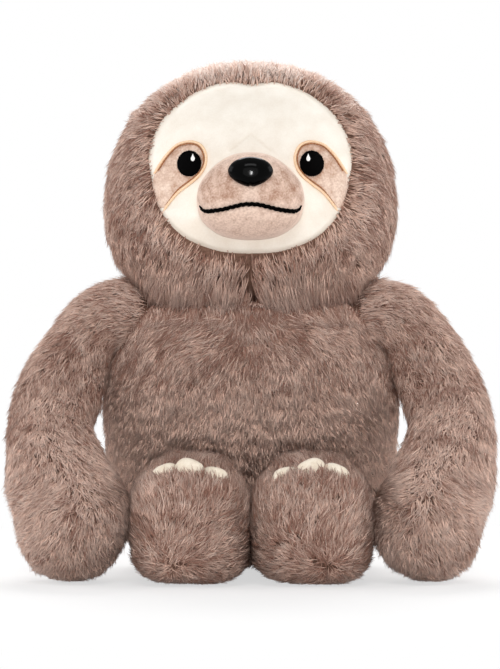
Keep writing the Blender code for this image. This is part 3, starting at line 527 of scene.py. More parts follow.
for side, sign in SIDES.items():
    arm_at, arm_faces = arm_form(PILE_DEPTH, sign)
    arm_at = arm_at + vertex_normals(arm_at, arm_faces) * (0.0008 * waves(arm_at, 0.045, 21))[:, None]
    # beside the torso a narrow gap, and a closed fold above it
    gap = 0.0020 * peak((arm_at[:, 2] - ARM_GAP_Z) / ARM_GAP_REACH)
    fold = 0.0024 * peak((arm_at[:, 2] - 0.114) / 0.016)
    arm_at[:, 0] += sign * (gap - fold) * ease((0.105 - np.abs(arm_at[:, 0])) / 0.015)
    arm_at[:, 2] = np.maximum(arm_at[:, 2], FLOOR_GAP)
    shown(
        f"arm_skin_{side}", f"arm_{side}", backing, (arm_at, arm_faces),
        replaces=(f"arm_cover_{side}", f"arm_stuffing_{side}"),
    )
    arm_line = ARM_TABLE[:, :3] * (sign, 1, 1)
    arm_ahead = unit(np.gradient(arm_line, axis=0))
    whorl_at = HAND_WHORL * (sign, 1, 1)

    def along_arm(points):
        """The direction of the arm beside each place, and the direction to the place from its line."""
        nearest = np.argmin(((points[:, None] - arm_line) ** 2).sum(axis=2), axis=1)
        return arm_ahead[nearest], unit(points - arm_line[nearest])

    def arm_comb(points):
        """Down along the arm, outward from its front parting, and outward from the whorl on the hand."""
        along, from_line = along_arm(points)
        outward = np.maximum(from_line * sign, -0.1) * sign * (0.7, 0, 0)
        hand = ease((WRIST_Z - points[:, 2]) / 0.035)[:, None]
        low = ease((0.022 - points[:, 2]) / 0.016)[:, None]
        flow = (1 - hand) * (along + outward) + hand * (away_from(points, whorl_at, 0.006) + 0.5 * DOWN)
        return flow * (1 - 0.8 * low * (0, 0, 1))

    def beside_torso(points):
        """1 on the arm's side that faces the torso, 0 elsewhere."""
        inward = -sign * along_arm(points)[1][:, 0]
        return ease((inward - 0.35) / 0.35) * ease((points[:, 2] - 0.095) / 0.010)

    # on the side that faces the torso the locks are shorter, and darker as painted shade of the fold
    pile(
        f"arm_pile_upper_{side}", f"arm_{side}", (arm_at, arm_faces), arm_comb, 24000,
        lambda p: LENGTH * (1 - 0.35 * beside_torso(p)), 31 + sign, weight=front_weight,
        paler=lambda p: -0.22 * beside_torso(p), contrast=everywhere(1.3),
        bare=lambda p: (p[:, 2] < WRIST_Z) | (np.abs(p[:, 0]) < 0.061),
    )
    pile(
        f"arm_pile_hand_{side}", f"arm_{side}", (arm_at, arm_faces), arm_comb, 26000,
        everywhere(LENGTH), 35 + sign, weight=lambda p: front_weight(p) + 1.5 * near(p, whorl_at, 0.014),
        paler=everywhere(0.17), contrast=everywhere(1.3),
        bare=lambda p: (p[:, 2] >= WRIST_Z) | (p[:, 2] < BARE_Z),
    )

# Legs
# Each leg is a short stuffed tube of pile plush that points forward and ends in a rounded sole. The pile
# fans upward and outward over the sole from a whorl near the floor.
SOLE_Y, LEG_COLUMNS = -0.0935, 72
# shares of the way from the hip to the sole, and of the full section there
LEG_SHARES = (
    (0.0, 1.0), (0.30, 1.0), (0.55, 0.99), (0.72, 0.95), (0.86, 0.85), (0.955, 0.66), (0.993, 0.36),
    (1.0, 0.0),
)


def signed_power(value, power):
    """A sine or cosine to a power, with its sign kept; a power below 1 squares an oval off."""
    return np.sign(value) * np.abs(value) ** power


def leg_form(inset, sign):
    """A leg: upright ovals from the root in the torso to the sole, as shares of the full section."""
    angles = around(LEG_COLUMNS)
    c, s = np.cos(angles), np.sin(angles)
    power = 2 / np.where(s > 0, 2.6, 3.6)
    across, up = signed_power(c, power), signed_power(s, power)
    front = SOLE_Y + inset
    spans = [(HIP_Y + back, np.sqrt(1 - (back / LEG_HALF_HEIGHT) ** 2)) for back in (0.02, 0.012)]
    spans += [(HIP_Y + (front - HIP_Y) * along, share) for along, share in smooth_line(LEG_SHARES, 40)[:-1]]
    rows = [np.array([[sign * LEG_X, HIP_Y + 0.02, LEG_Z]])]
    for y, share in spans:
        inner = min(inset, LEG_HALF_HEIGHT * share / 2)
        rows.append(np.column_stack([
            sign * LEG_X + (LEG_HALF_WIDTH * share - 0.4 * inner) * across,
            np.full(LEG_COLUMNS, y),
            LEG_Z + (LEG_HALF_HEIGHT * share - inner * np.where(up < 0, 0.4, 1)) * up,
        ]))
    return closed([*rows, np.array([[sign * LEG_X, front, LEG_Z]])])


for side, sign in SIDES.items():
    leg_at, leg_faces = leg_form(PILE_DEPTH, sign)
    leg_normals = vertex_normals(leg_at, leg_faces)
    leg_at = leg_at + leg_normals * (0.0007 * waves(leg_at, 0.04, 41))[:, None]
    # the sole's upper rim stands up in front of the claws
    rim_rise = 0.0012 * ease((leg_at[:, 2] - 0.044) / 0.012) * ease((-0.0800 - leg_at[:, 1]) / 0.005)
    leg_at = leg_at + leg_normals * rim_rise[:, None] + rim_rise[:, None] * (0, 0, 0.6)
    leg_at[:, 2] = np.maximum(leg_at[:, 2], FLOOR_GAP)
    shown(
        f"leg_skin_{side}", f"leg_{side}", backing, (leg_at, leg_faces),
        replaces=(f"leg_cover_{side}", f"leg_stuffing_{side}"),
    )
    whorl = np.array([sign * 0.042, SOLE_Y, 0.009])

    def leg_comb(points):
        """Outward from the whorl at the sole's lower edge, level along the floor, and back over the leg."""
        low = ease((0.020 - points[:, 2]) / 0.014)[:, None]
        flow = away_from(points, whorl, 0.006) + np.array([0, 0, 0.25])
        return flow * (1 - low * (0, 0, 1)) + low * np.array([0, 0, 0.12])

    def leg_length(points):
        """Shorter locks on top of the foot, but for the sole's upper rim, which covers the claws' roots."""
        top = ease((points[:, 2] - 0.048) / 0.010)
        return LENGTH - 0.0012 * top + 0.0006 * top * ease((-0.078 - points[:, 1]) / 0.006)

    # the legs' locks are darker all over: painted shade, as the feet stand out into more light than the
    # belly
    pile(
        f"leg_pile_{side}", f"leg_{side}", (leg_at, leg_faces), leg_comb, 28000, leg_length, 45 + sign,
        weight=lambda p: 1.3 - 0.8 * ease((p[:, 1] + 0.06) / 0.03) + 2.5 * near(p, whorl, 0.011),
        paler=everywhere(-0.10), stand=lambda p: 26 * ease((p[:, 2] - 0.060) / 0.006),
        contrast=everywhere(1.2), bare=lambda p: p[:, 2] < BARE_Z,
    )

# Head
# The head is a stuffed ball of pile plush, wider than deep, sewn on at the neck. Its pile flows away from
# the face on all sides, down the back and in under the jaw to the neck seam.
HEAD_HALF_WIDTH, HEAD_HALF_DEPTH, HEAD_RISE, HEAD_DROP, HEAD_WIDEST_Z = 0.0867, 0.0665, 0.0885, 0.067, 0.209
HEAD_EXPONENT, HEAD_COLUMNS = 2.2, 128
NECK_RADIUS, JAW_RUN, JAW_RISE = 0.047, 0.0324, 0.0258
# how far the stuffing lies below the head's outer form, under the face
FACE_DEPTH = 0.0066


def head_form(inset):
    """The head: superellipses across and along, kept inside the cone of the jaw."""
    c, s = np.cos(around(HEAD_COLUMNS)), np.sin(around(HEAD_COLUMNS))
    steps = np.radians(np.linspace(4, 90, 40))
    upper = HEAD_WIDEST_Z + (HEAD_RISE - inset) * np.cos(steps) ** (2 / HEAD_EXPONENT)
    lower = np.linspace(HEAD_WIDEST_Z, NECK_Z + 0.0003, 34)[1:]
    rows = [np.array([[0, SPINE_Y, HEAD_WIDEST_Z + HEAD_RISE - inset]])]
    for z in (*upper, *lower):
        height = (HEAD_RISE if z > HEAD_WIDEST_Z else HEAD_DROP) - inset
        level = max(0, 1 - (abs(z - HEAD_WIDEST_Z) / height) ** HEAD_EXPONENT) ** (1 / HEAD_EXPONENT)
        across = np.abs(c / (HEAD_HALF_WIDTH - inset)) ** HEAD_EXPONENT
        along = np.abs(s / (HEAD_HALF_DEPTH - inset)) ** HEAD_EXPONENT
        cone = NECK_RADIUS - inset + (z - NECK_Z) * JAW_RUN / JAW_RISE
        reach = np.minimum(level * (across + along) ** (-1 / HEAD_EXPONENT), cone)
        rows.append(np.column_stack([reach * c, SPINE_Y + reach * s, np.full(HEAD_COLUMNS, z)]))
    return closed([*rows, rows[-1].mean(axis=0)[None]])


def smooth_loop(points, count):
    """Places at even steps along a cubic curve through a closed loop of points."""
    points = np.asarray(points, float)
    return blend_through(np.vstack([points[-1], points, points[:2]]), count + 1)[:-1]


def mirrored(half):
    """A closed outline from the points of its right half, listed from its top to its bottom."""
    half = np.asarray(half, float)
    return np.vstack([half, half[-2:0:-1] * (-1, 1)])


def share_of(x, z, outline):
    """How far each place lies from an outline's middle, as a share of the way to its edge."""
    middle = (outline.min(axis=0) + outline.max(axis=0)) / 2
    spokes = outline - middle
    turn = np.arctan2(spokes[:, 1], spokes[:, 0])
    order = np.argsort(turn)
    reach = np.hypot(*spokes.T)[order]
    places = np.arctan2(z - middle[1], x - middle[0])
    return np.hypot(x - middle[0], z - middle[1]) / np.interp(places, turn[order], reach, period=2 * np.pi)


FACE_OUTLINE = smooth_loop(
    mirrored((
        (0.0, 0.985), (0.24, 1.0), (0.53, 0.945), (0.80, 0.825), (0.93, 0.71), (1.0, 0.58), (0.98, 0.44),
        (0.90, 0.265), (0.78, 0.16), (0.60, 0.075), (0.30, 0.012), (0.0, 0.0),
    )) * (0.0585, 0.1003) + (0, 0.1817),
    144,
)
head_at, head_faces = head_form(FACE_DEPTH)
head_normals = vertex_normals(head_at, head_faces)
beside_face = ease((share_of(head_at[:, 0], head_at[:, 2], FACE_OUTLINE) - 1.0) / 0.10)
beside_face[head_at[:, 1] > SPINE_Y] = 1
head_at = head_at + head_normals * ((FACE_DEPTH - PILE_DEPTH) * beside_face)[:, None]
# a seam draws the cloth in below the chin
chin = ease((0.183 - head_at[:, 2]) / 0.006) * (head_at[:, 1] < SPINE_Y)
head_at[:, 1] += 0.0035 * chin * peak(head_at[:, 0] / 0.003)
shown(
    "head_skin", "head", backing, (head_at, head_faces),
    replaces=("head_cover", "head_stuffing"),
)
FACE_MIDDLE, CROWN_Z = np.array([0, -0.03, 0.228]), 0.268


def head_comb(points):
    """Outward from the face, more and more downward towards the neck, and parted below the chin."""
    x, y, z = points[:, :1], points[:, 1:2], points[:, 2:]
    back, below = ease((y - 0.02) / 0.05), ease((0.285 - z) / 0.05)
    parting = peak(x / 0.025) * np.tanh(x / 0.004)
    jaw = ease((0.185 - z) / 0.01) * (y < SPINE_Y)
    flow = (1 - 0.8 * back) * unit(points - FACE_MIDDLE) + (0.9 * back + (1 - 0.6 * back) * below) * DOWN
    return flow + 0.9 * jaw * parting * (1, 0, 0)


def head_bare(points):
    """Where the head carries no pile: on the face panel, along the chin's parting and in the neck seam."""
    on_face = share_of(points[:, 0], points[:, 2], FACE_OUTLINE) < 0.972
    parting = (np.abs(points[:, 0]) < 0.0034) & (points[:, 2] < 0.184)
    return ((on_face | parting) & (points[:, 1] < SPINE_Y)) | (points[:, 2] < 0.158)


def head_length(points):
    """Longer locks under the jaw."""
    return 0.0098 + 0.0058 * ease((0.186 - points[:, 2]) / 0.024)


def head_painted_light_and_shade(points):
    """Painted light and shade: paler locks on the crown, where light falls from above, and under the jaw,
    which lies in shade; dark ones along the parting below the chin, painted shade in its crease.
    """
    chin = ease((0.185 - points[:, 2]) / 0.01) * (points[:, 1] < SPINE_Y)
    # painted shade along the parting's crease
    dark = 0.70 * peak(points[:, 0] / 0.0045)
    return 0.54 * ease((points[:, 2] - CROWN_Z) / 0.02) - 0.04 + chin * (0.18 - dark)


# locks, seed and width of the two pieces of the head's pile
HEAD_PILE = {"front": (32800, 51, PILE_WIDTH), "back": (22400, 52, BACK_WIDTH)}
for region, (locks, seed, width) in HEAD_PILE.items():
    pile(
        f"head_pile_{region}", "head", (head_at, head_faces), head_comb, locks, head_length, seed,
        paler=head_painted_light_and_shade, stand=lambda p: 28 * ease((0.184 - p[:, 2]) / 0.022),
        contrast=lambda p: 1 + 0.4 * ease((p[:, 2] - 0.180) / 0.01) - 0.5 * ease((p[:, 2] - CROWN_Z) / 0.02),
        weight=lambda p: 1 + 0.6 * ease((p[:, 2] - 0.27) / 0.02) + 0.5 * ease((0.172 - p[:, 2]) / 0.01),
        hang=lambda p: 0.30 * ease((0.184 - p[:, 2]) / 0.022),
        bare=lambda p: head_bare(p) | ((p[:, 1] > SPINE_Y) == (region == "front")), width=width,
    )

# Face panel
# Cream velour, cut as a heart-like oval and sewn into the pile, over the head's stuffing. A dart makes a
# faint chevron over the muzzle, and the panel is drawn in along its seam.


def face_y(x, z, inset):
    """Where the front of the head lies, below its pile by an inset."""
    dz = np.abs(z - HEAD_WIDEST_Z) / (np.where(z > HEAD_WIDEST_Z, HEAD_RISE, HEAD_DROP) - inset)
    rest = 1 - dz**HEAD_EXPONENT - np.abs(x / (HEAD_HALF_WIDTH - inset)) ** HEAD_EXPONENT
    return SPINE_Y - (HEAD_HALF_DEPTH - inset) * np.maximum(rest, 0) ** (1 / HEAD_EXPONENT)


def velour(name, pale, deep, nap_scale, mottle_scale, fuzz, grain):
    """Short-napped cloth: fuzz is its height; fuzz, a broad mottle and an attribute of the nap's tone and
    painted shade are its tone.
    """
    material, tree, shader = surface_material(name, 0.85, sheen=0.25)
    place = add(tree, "ShaderNodeTexCoord")["Object"]
    fine = add(tree, "ShaderNodeTexNoise", {"Vector": place, "Scale": nap_scale, "Detail": 4.0})["Fac"]
    broad = add(tree, "ShaderNodeTexNoise", {"Vector": place, "Scale": mottle_scale, "Detail": 3.0})
    lie_and_shade = add(tree, "ShaderNodeAttribute", attribute_name="nap_and_shade")
    mottle = add(
        tree, "ShaderNodeMath", {0: broad["Fac"], 1: 0.6, 2: lie_and_shade["Fac"]}, operation="MULTIPLY_ADD"
    )
    tone = add(tree, "ShaderNodeMath", {0: fine, 1: grain, 2: mottle[0]}, operation="MULTIPLY_ADD")
    lightest = 0.10 + 0.5 * grain
    held = add(
        tree, "ShaderNodeMapRange", {"Value": tone[0], "From Min": lightest, "From Max": lightest + 0.65}
    )
    colour = add(tree, "ShaderNodeValToRGB", {"Fac": held["Result"]}, stops=((0, pale), (1, deep)))
    bump = add(tree, "ShaderNodeBump", {"Height": fine, "Strength": fuzz, "Distance": 0.0004})
    fill(tree, shader, {"Base Color": colour["Color"], "Normal": bump["Normal"], "Sheen Roughness": 0.4})
    return material


def pad(outline, middle, front, back, shares):
    """A closed pad: its front from the middle out to the outline, then its back, as points and faces."""
    def row(share, surface):
        """The points on a surface at a share of the way out from the middle, one point at 0."""
        x, z = (middle + share * (outline - middle)).T if share else np.asarray(middle, float)[:, None]
        return np.column_stack([x, surface(x, z, share), z])

    rows = [row(0, front), *(row(share, front) for share in shares)]
    rows += [*(row(share, back) for share in shares[::-1]), row(0, back)]
    return closed(rows)


def groove(x, z, path, depth, half_width):
    """How deep a drawn-in line lies at each place: depth times the peak of distance / half width."""
    gap = np.full(np.shape(x), np.inf)
    for start, end in zip(path, path[1:]):
        run = end - start
        t = np.clip(((x - start[0]) * run[0] + (z - start[1]) * run[1]) / (run @ run), 0, 1)
        gap = np.minimum(gap, np.hypot(x - start[0] - t * run[0], z - start[1] - t * run[1]))
    return depth * peak(gap / half_width)


DART = np.array([(-0.0115, 0.2405), (-0.004, 0.2468), (0.0, 0.2500), (0.004, 0.2468), (0.0115, 0.2405)])
CENTRE_SEAM = np.array([(0.0, 0.2500), (0.0, 0.283)])
PANEL_MIDDLE, PANEL_INSET = np.array([0, 0.2318]), 0.0045
# rows of points from the panel's middle to its edge, closer where the seam draws it in
PANEL_ROWS = np.append(np.linspace(0.03, 0.9, 44), (0.92, 0.935, 0.95, 0.962, 0.974, 0.986, 1.0))


def on_panel(x, z):
    """The panel's outer surface away from its seams."""
    return face_y(x, z, PANEL_INSET)


def panel_front(x, z, share):
    """The panel over the head, drawn in at its seam and along the dart."""
    drop = 0.0030 * ease((share - 0.93) / 0.07)
    seams = groove(x, z, DART, 0.00045, 0.0009) + groove(x, z, CENTRE_SEAM, 0.00015, 0.0009)
    return on_panel(x, z) + drop + seams


# sheared polyester velour, soft and matt, darker towards its bottom, with painted shade along its seam under
# the pile's edge and in the dart; its nap is drawn 0.9 mm wide, coarser than the real one, so that it shows
cream = velour("cream_velour", "#fff9ef", "#e6d9c8", 1100.0, 90.0, 0.35, 0.25)
panel = pad(FACE_OUTLINE, PANEL_MIDDLE, panel_front, lambda x, z, share: face_y(x, z, 0.0075), PANEL_ROWS)
x, z = panel[0][:, 0], panel[0][:, 2]
shown(
    "face_panel_velour", "head", cream, panel, replaces=("face_panel",),
    # darker towards the bottom, and painted shade at the seam under the pile's edge and along the dart
    nap_and_shade=0.24 * ease((0.215 - z) / 0.03) + 0.30 * ease((share_of(x, z, FACE_OUTLINE) - 0.94) / 0.06)
    + 300 * groove(x, z, DART, 0.0006, 0.0006),
)

# Eye patches and their trims
# Short pinkish pile is set around each eye and runs out to the face's edge. A twisted satin cord covers
# its cut edge, with a line of brown stitches beside it.
EYE, PATCH_MIDDLE = np.array([0.0346, 0.2334]), np.array([0.0415, 0.2270])
TRIM_REACH, TRIM_POINTS = 0.027, 150
CORD_RADIUS, CORD_LIFT = 0.00074, 0.0009
STITCH_RADIUS, STITCH_LIFT, STITCH_OFFSET = 0.00038, 0.0013, 0.00135
# the patch's sewn edge from its upper end on the face's edge, round the eye, to its lower end
TRIM_SHARES = np.array((
    (0.735, -0.207), (0.50, 0.144), (0.27, 0.375), (0.08, 0.445), (-0.08, 0.450), (-0.235, 0.385),
    (-0.335, 0.240), (-0.362, 0.070), (-0.318, -0.105), (-0.205, -0.270), (-0.010, -0.435), (0.230, -0.615),
    (0.437, -0.852), (0.525, -0.985),
))


def tube(path, normals, radii, bumps, sides=14):
    """A tube along a path; its radius is scaled by a pattern of place along it and angle round it."""
    ahead = unit(np.gradient(path, axis=0))
    side = unit(np.cross(ahead, normals))
    normal = np.cross(side, ahead)
    along = np.append(0, np.cumsum(np.linalg.norm(np.diff(path, axis=0), axis=1)))[:, None]
    reach = (radii[:, None] * bumps(along, around(sides)[None]))[:, :, None]
    turn = around(sides)[None, :, None]
    rings = path[:, None] + reach * (np.cos(turn) * side[:, None] + np.sin(turn) * normal[:, None])
    return closed([path[:1], *rings, path[-1:]])


def lifted(surface, path, lift):
    """Places x, y, z over a path of x and z on a surface, raised along its normal, and the normals."""
    x, z = path.T
    step = 0.0003
    slope_x = (surface(x + step, z) - surface(x - step, z)) / (2 * step)
    slope_z = (surface(x, z + step) - surface(x, z - step)) / (2 * step)
    normal = unit(np.column_stack([slope_x, -np.ones_like(x), slope_z]))
    return np.column_stack([x, surface(x, z), z]) + normal * lift, normal


# short brushed pile: pale tips and darker gaps, drawn about 1.1 mm apart so that they show
pinkish = velour("pinkish_tan_pile", "#f3dccb", "#bd947c", 900.0, 260.0, 0.9, 0.9)
# twisted rayon cord, with a soft shine on each of its turns
satin = grained("peach_satin_cord", 0.42, 1800.0, "#eec49a", "#fbe0c2")
# spun polyester thread: duller and darker than the cord
stitch = grained("brown_sewing_thread", 0.6, 2500.0, "#925a34", "#b47a50")


def cord_twist(along, angle):
    """Three strands that turn once in 5.4 mm: 1 + 0.12 times the size of a sine of angle and place."""
    return 1 + 0.12 * np.abs(np.sin(1.5 * angle + along * 2 * np.pi / 0.0036))


def stitch_bumps(along, angle):
    """Stitches 1.9 mm long, thick in their middle and thin between."""
    return 0.55 + 0.6 * np.abs(np.sin(along * np.pi / 0.0019)) + 0 * angle


def over_panel(rise):
    """A surface over the panel as it is drawn in at its seam, moved by a function of the share."""
    return lambda x, z, share: panel_front(x, z, share_of(x, z, FACE_OUTLINE)) + rise(share)


for side, sign in SIDES.items():
    trim = smooth_line((TRIM_SHARES * TRIM_REACH + EYE) * (sign, 1), TRIM_POINTS)
    # the patch is closed along the part of the face's edge between the trim's ends
    last, first = [np.argmin(np.hypot(*(FACE_OUTLINE - end).T)) for end in (trim[-1], trim[0])]
    step = 1 if first > last else -1
    edge = FACE_OUTLINE[np.arange(last, first + step, step)]
    edge = PANEL_MIDDLE + (edge - PANEL_MIDDLE) * 0.985
    loop = smooth_loop(np.vstack([trim[::6], edge[1:-1:2]]), 120)
    patch_at = PATCH_MIDDLE * (sign, 1)
    patch = pad(
        loop, patch_at, over_panel(lambda share: 0.0005 * share**6 - 0.0008),
        over_panel(lambda share: 0.0004), np.linspace(0.06, 1, 18),
    )
    from_eye = np.hypot(patch[0][:, 0] - sign * EYE[0], patch[0][:, 2] - EYE[1])
    shown(
        f"eye_patch_pile_{side}", "head", pinkish, patch, replaces=(f"eye_patch_{side}",),
        nap_and_shade=0.05 + 0.10 * waves(patch[0], 0.006, 61) + 0.22 * ease(1 - from_eye / 0.02),
    )
    path, normal = lifted(on_panel, trim, CORD_LIFT)
    taper = np.interp(np.linspace(0, 1, TRIM_POINTS), (0, 0.03, 0.97, 1), (0.4, 1, 1, 0.4))
    cord = tube(path, normal, CORD_RADIUS * taper, cord_twist)
    shown(f"eye_trim_cord_{side}", "head", satin, cord, replaces=(f"eye_trim_{side}",))
    line = trim + STITCH_OFFSET * unit(patch_at - trim)
    path, normal = lifted(on_panel, line[4:-4], STITCH_LIFT)
    thread = tube(path, normal, np.full(len(path), STITCH_RADIUS), stitch_bumps, sides=8)
    shown(f"eye_trim_stitches_{side}", "head", stitch, thread)

# Eyes and their highlights
# Black satin stitch, with threads that run up and down, and a small white stitched drop on each.
EYE_HALF = np.array([0.0069, 0.0074])
GLINT_AT, GLINT_HALF = np.array([-0.0021, 0.0033]), np.array([0.0014, 0.0022])
GLINT_SHARES = ((0, 1), (0.35, 0.45), (0.75, -0.1), (0.8, -0.5), (0.45, -0.9), (0, -1))
# trilobal polyester thread, black with a dull gleam that breaks on each thread, 0.45 mm apart
black, tree, shader = surface_material("black_embroidery_thread", 0.42)
place = add(tree, "ShaderNodeTexCoord")["Object"]
bands = add(
    tree, "ShaderNodeTexWave", {"Vector": place, "Scale": 700.0, "Distortion": 1.5, "Detail": 1.0}
)["Fac"]
tone = add(tree, "ShaderNodeValToRGB", {"Fac": bands}, stops=((0.2, "#010101"), (0.9, "#060505")))
bump = add(tree, "ShaderNodeBump", {"Height": bands, "Strength": 0.5, "Distance": 0.00015})
fill(tree, shader, {"Base Color": tone["Color"], "Normal": bump["Normal"], "Specular IOR Level": 0.01})
# the same thread in white, as a small bright spot with fine grey lines 0.35 mm apart
white_thread, tree, shader = surface_material("white_embroidery_thread", 0.45)
place = add(tree, "ShaderNodeTexCoord")["Object"]
bands = add(tree, "ShaderNodeTexWave", {"Vector": place, "Scale": 900.0, "Distortion": 0.5})
tone = add(
    tree, "ShaderNodeValToRGB", {"Fac": bands["Fac"]}, stops=((0.2, "#e9e6e0"), (0.8, "#ffffff"))
)
fill(tree, shader, {"Base Color": tone["Color"]})


def eye_front(x, z, share):
    """Thread over the patch, a half ellipse of the share: 1.1 mm higher in the middle than at the rim."""
    return on_panel(x, z) - 0.0018 - 0.0011 * np.sqrt(np.maximum(1 - share**2, 0))


for side, sign in SIDES.items():
    turns = around(180)
    middle = EYE * (sign, 1)
    ragged = 1 + 0.012 * np.sin(47 * turns + sign) + 0.010 * np.sin(31 * turns + 2)
    ragged = ragged + 0.008 * np.sin(13 * turns)
    rim_line = middle + np.column_stack([np.cos(turns), np.sin(turns)]) * EYE_HALF * ragged[:, None]
    eye = pad(
        rim_line, middle, eye_front, lambda x, z, share: on_panel(x, z) - 0.0004,
        np.sin(np.linspace(0.06, np.pi / 2, 16)),
    )
    shown(f"eye_thread_{side}", "head", black, eye, replaces=(f"eye_{side}",))

    def on_eye(x, z, lift):
        """The eye's outer surface, less a lift."""
        share = np.hypot((x - middle[0]) / EYE_HALF[0], (z - middle[1]) / EYE_HALF[1])
        return eye_front(x, z, np.minimum(share, 1)) - lift

    seat = middle + GLINT_AT * (sign, 1)
    glint = pad(
        smooth_loop(mirrored(GLINT_SHARES) * GLINT_HALF, 40) + seat, seat,
        lambda x, z, share: on_eye(x, z, 0.0002 + 0.0003 * np.sqrt(1 - share**2)),
        lambda x, z, share: on_eye(x, z, -0.0002), np.linspace(0.2, 1, 6),
    )
    shown(
        f"eye_glint_thread_{side}", "head", white_thread, glint,
        replaces=(f"eye_glint_{side}",),
    )

# Muzzle
# A stuffed dome of tan velour, sewn to the face panel. It is drawn in along the mouth, under the nose
# and at a dimple in the chin, and it is darker on the upper cheeks: painted shade, with the nap's lie.
MUZZLE_OUTLINE = smooth_loop(
    mirrored((
        (0.0, 1.0), (0.34, 0.97), (0.65, 0.86), (0.89, 0.70), (0.985, 0.575), (1.0, 0.40), (0.885, 0.20),
        (0.52, 0.045), (0.0, 0.0),
    )) * (0.030, 0.0494) + (0, 0.190),
    140,
)
MUZZLE_MIDDLE = (MUZZLE_OUTLINE.min(axis=0) + MUZZLE_OUTLINE.max(axis=0)) / 2
MUZZLE_RISE, MUZZLE_POWER = 0.023, 2.3
MOUTH_Z, MOUTH_POINTS = 0.2089, 160
HALF_MOUTH = np.array((
    (0.0, 0.02), (0.16, -0.06), (0.34, -0.40), (0.54, -0.78), (0.72, -0.97), (0.86, -1.0), (0.95, -0.65),
    (1.0, 0.0),
))
MOUTH = smooth_line(
    np.vstack([HALF_MOUTH[:0:-1] * (-1, 1), HALF_MOUTH]) * (0.0280, 0.0033) + (0, MOUTH_Z), MOUTH_POINTS
)
PHILTRUM = np.array([(0.0, MOUTH_Z), (0.0, 0.2200)])


def muzzle_front(x, z, share):
    """The muzzle's dome, less what its seams and dimples draw in."""
    dome = MUZZLE_RISE * np.maximum(1 - share**MUZZLE_POWER, 0) ** (1 / MUZZLE_POWER)
    drawn = groove(x, z, MOUTH[::10], 0.0011, 0.0022) + groove(x, z, PHILTRUM, 0.0004, 0.0014)
    dimple = 0.0007 * peak(np.hypot(x / 0.004, (z - 0.1972) / 0.0025))
    return face_y(x, z, PANEL_INSET - 0.0003) - dome + (drawn + dimple) * np.minimum(dome / 0.008, 1)


# brushed velour, longer than the face's: mottled tan, with tufts drawn 1.1 mm wide so that they show
tan = velour("tan_velour", "#eacfbe", "#a47a63", 900.0, 240.0, 0.9, 0.9)
muzzle = pad(
    MUZZLE_OUTLINE, MUZZLE_MIDDLE, muzzle_front, lambda x, z, share: face_y(x, z, PANEL_INSET - 0.0001),
    np.sin(np.linspace(0.03, np.pi / 2, 54)),
)
x, z = muzzle[0][:, 0], muzzle[0][:, 2]
# painted shade on the upper cheeks beside the nose, with the nap's lie; the rim is paler
cheek_shade = ease((np.abs(x) - 0.002) / 0.006) * ease((z - 0.2075) / 0.006) * ease((0.236 - z) / 0.01)
shown(
    "muzzle_velour", "head", tan, muzzle, replaces=("muzzle_cover", "muzzle_stuffing"),
    nap_and_shade=-0.08 + 0.22 * cheek_shade + 0.10 * waves(muzzle[0], 0.007, 71) * cheek_shade
    - 0.30 * ease((share_of(x, z, MUZZLE_OUTLINE) - 0.94) / 0.05),
)


def on_muzzle(x, z):
    """The muzzle's outer surface at any place."""
    return muzzle_front(x, z, np.minimum(share_of(x, z, MUZZLE_OUTLINE), 1))


# Mouth
# One line of black satin stitch along the crease, thick in its middle and fine at its ends.
THREAD_RADIUS, THREAD_LIFT = 0.00115, 0.0005


def mouth_bumps(along, angle):
    """Threads 0.9 mm apart, and a slow twist of 3.1 mm."""
    return 1 + 0.2 * np.sin(along * 2 * np.pi / 0.0009) + 0.16 * np.sin(along * 2 * np.pi / 0.0031 + angle)


path, normal = lifted(on_muzzle, MOUTH, THREAD_LIFT)
end_share = np.abs(np.linspace(-1, 1, MOUTH_POINTS))
radii = THREAD_RADIUS * np.interp(end_share, (0, 0.8, 0.93, 1), (1, 0.95, 0.6, 0.35))
mouth = tube(path, normal, radii, mouth_bumps)
shown("mouth_thread", "head", black, mouth, replaces=("mouth_stitch",))

# Nose
# One glossy black moulding, wide and rounded, flattest low in its middle, with a notch at its lower edge.
NOSE_AT = np.array([0.0, 0.2268])
NOSE_OUTLINE = smooth_loop(
    mirrored((
        (0.0, 1.0), (0.42, 0.91), (0.80, 0.62), (1.0, 0.14), (0.91, -0.30), (0.62, -0.69), (0.28, -0.94),
        (0.10, -1.0), (0.0, -0.95),
    )) * (0.0124, 0.0082) + NOSE_AT,
    120,
)
NOSE_APEX = NOSE_AT - (0, 0.0016)
NOSE_RISE, NOSE_POWER, NOSE_BEND = 0.0040, 3.4, 7


def nose_front(x, z, share):
    """The crown of the nose: a dome of 1 - share to a power, bent back at its sides and round its rim."""
    dome = NOSE_RISE * (1 - share**NOSE_POWER)
    rim = 0.0006 * ease((share - 0.93) / 0.07)
    return on_panel(0 * x, 0 * x + NOSE_AT[1]) - 0.0246 - dome + rim + NOSE_BEND * x**2


# moulded ABS, polished in its tool: near-black, with one small sharp reflection and a faint ripple
gloss, tree, shader = surface_material("glossy_black_nose_plastic", 0.10)
place = add(tree, "ShaderNodeTexCoord")["Object"]
grain = add(tree, "ShaderNodeTexNoise", {"Vector": place, "Scale": 500.0, "Detail": 2.0})
bump = add(tree, "ShaderNodeBump", {"Height": grain["Fac"], "Strength": 0.02, "Distance": 0.0001})
fill(tree, shader, {"Base Color": linear("#020202"), "Normal": bump["Normal"], "Specular IOR Level": 0.05})
nose = pad(
    NOSE_OUTLINE, NOSE_APEX, nose_front, lambda x, z, share: on_muzzle(x, z) + 0.0010,
    np.sin(np.linspace(0.05, np.pi / 2, 26)),
)
shown("nose_moulding", "head", gloss, nose, replaces=("nose",))

# Nose washer
# The white plate that grips the nose's shank inside the muzzle, kept from the CAD.

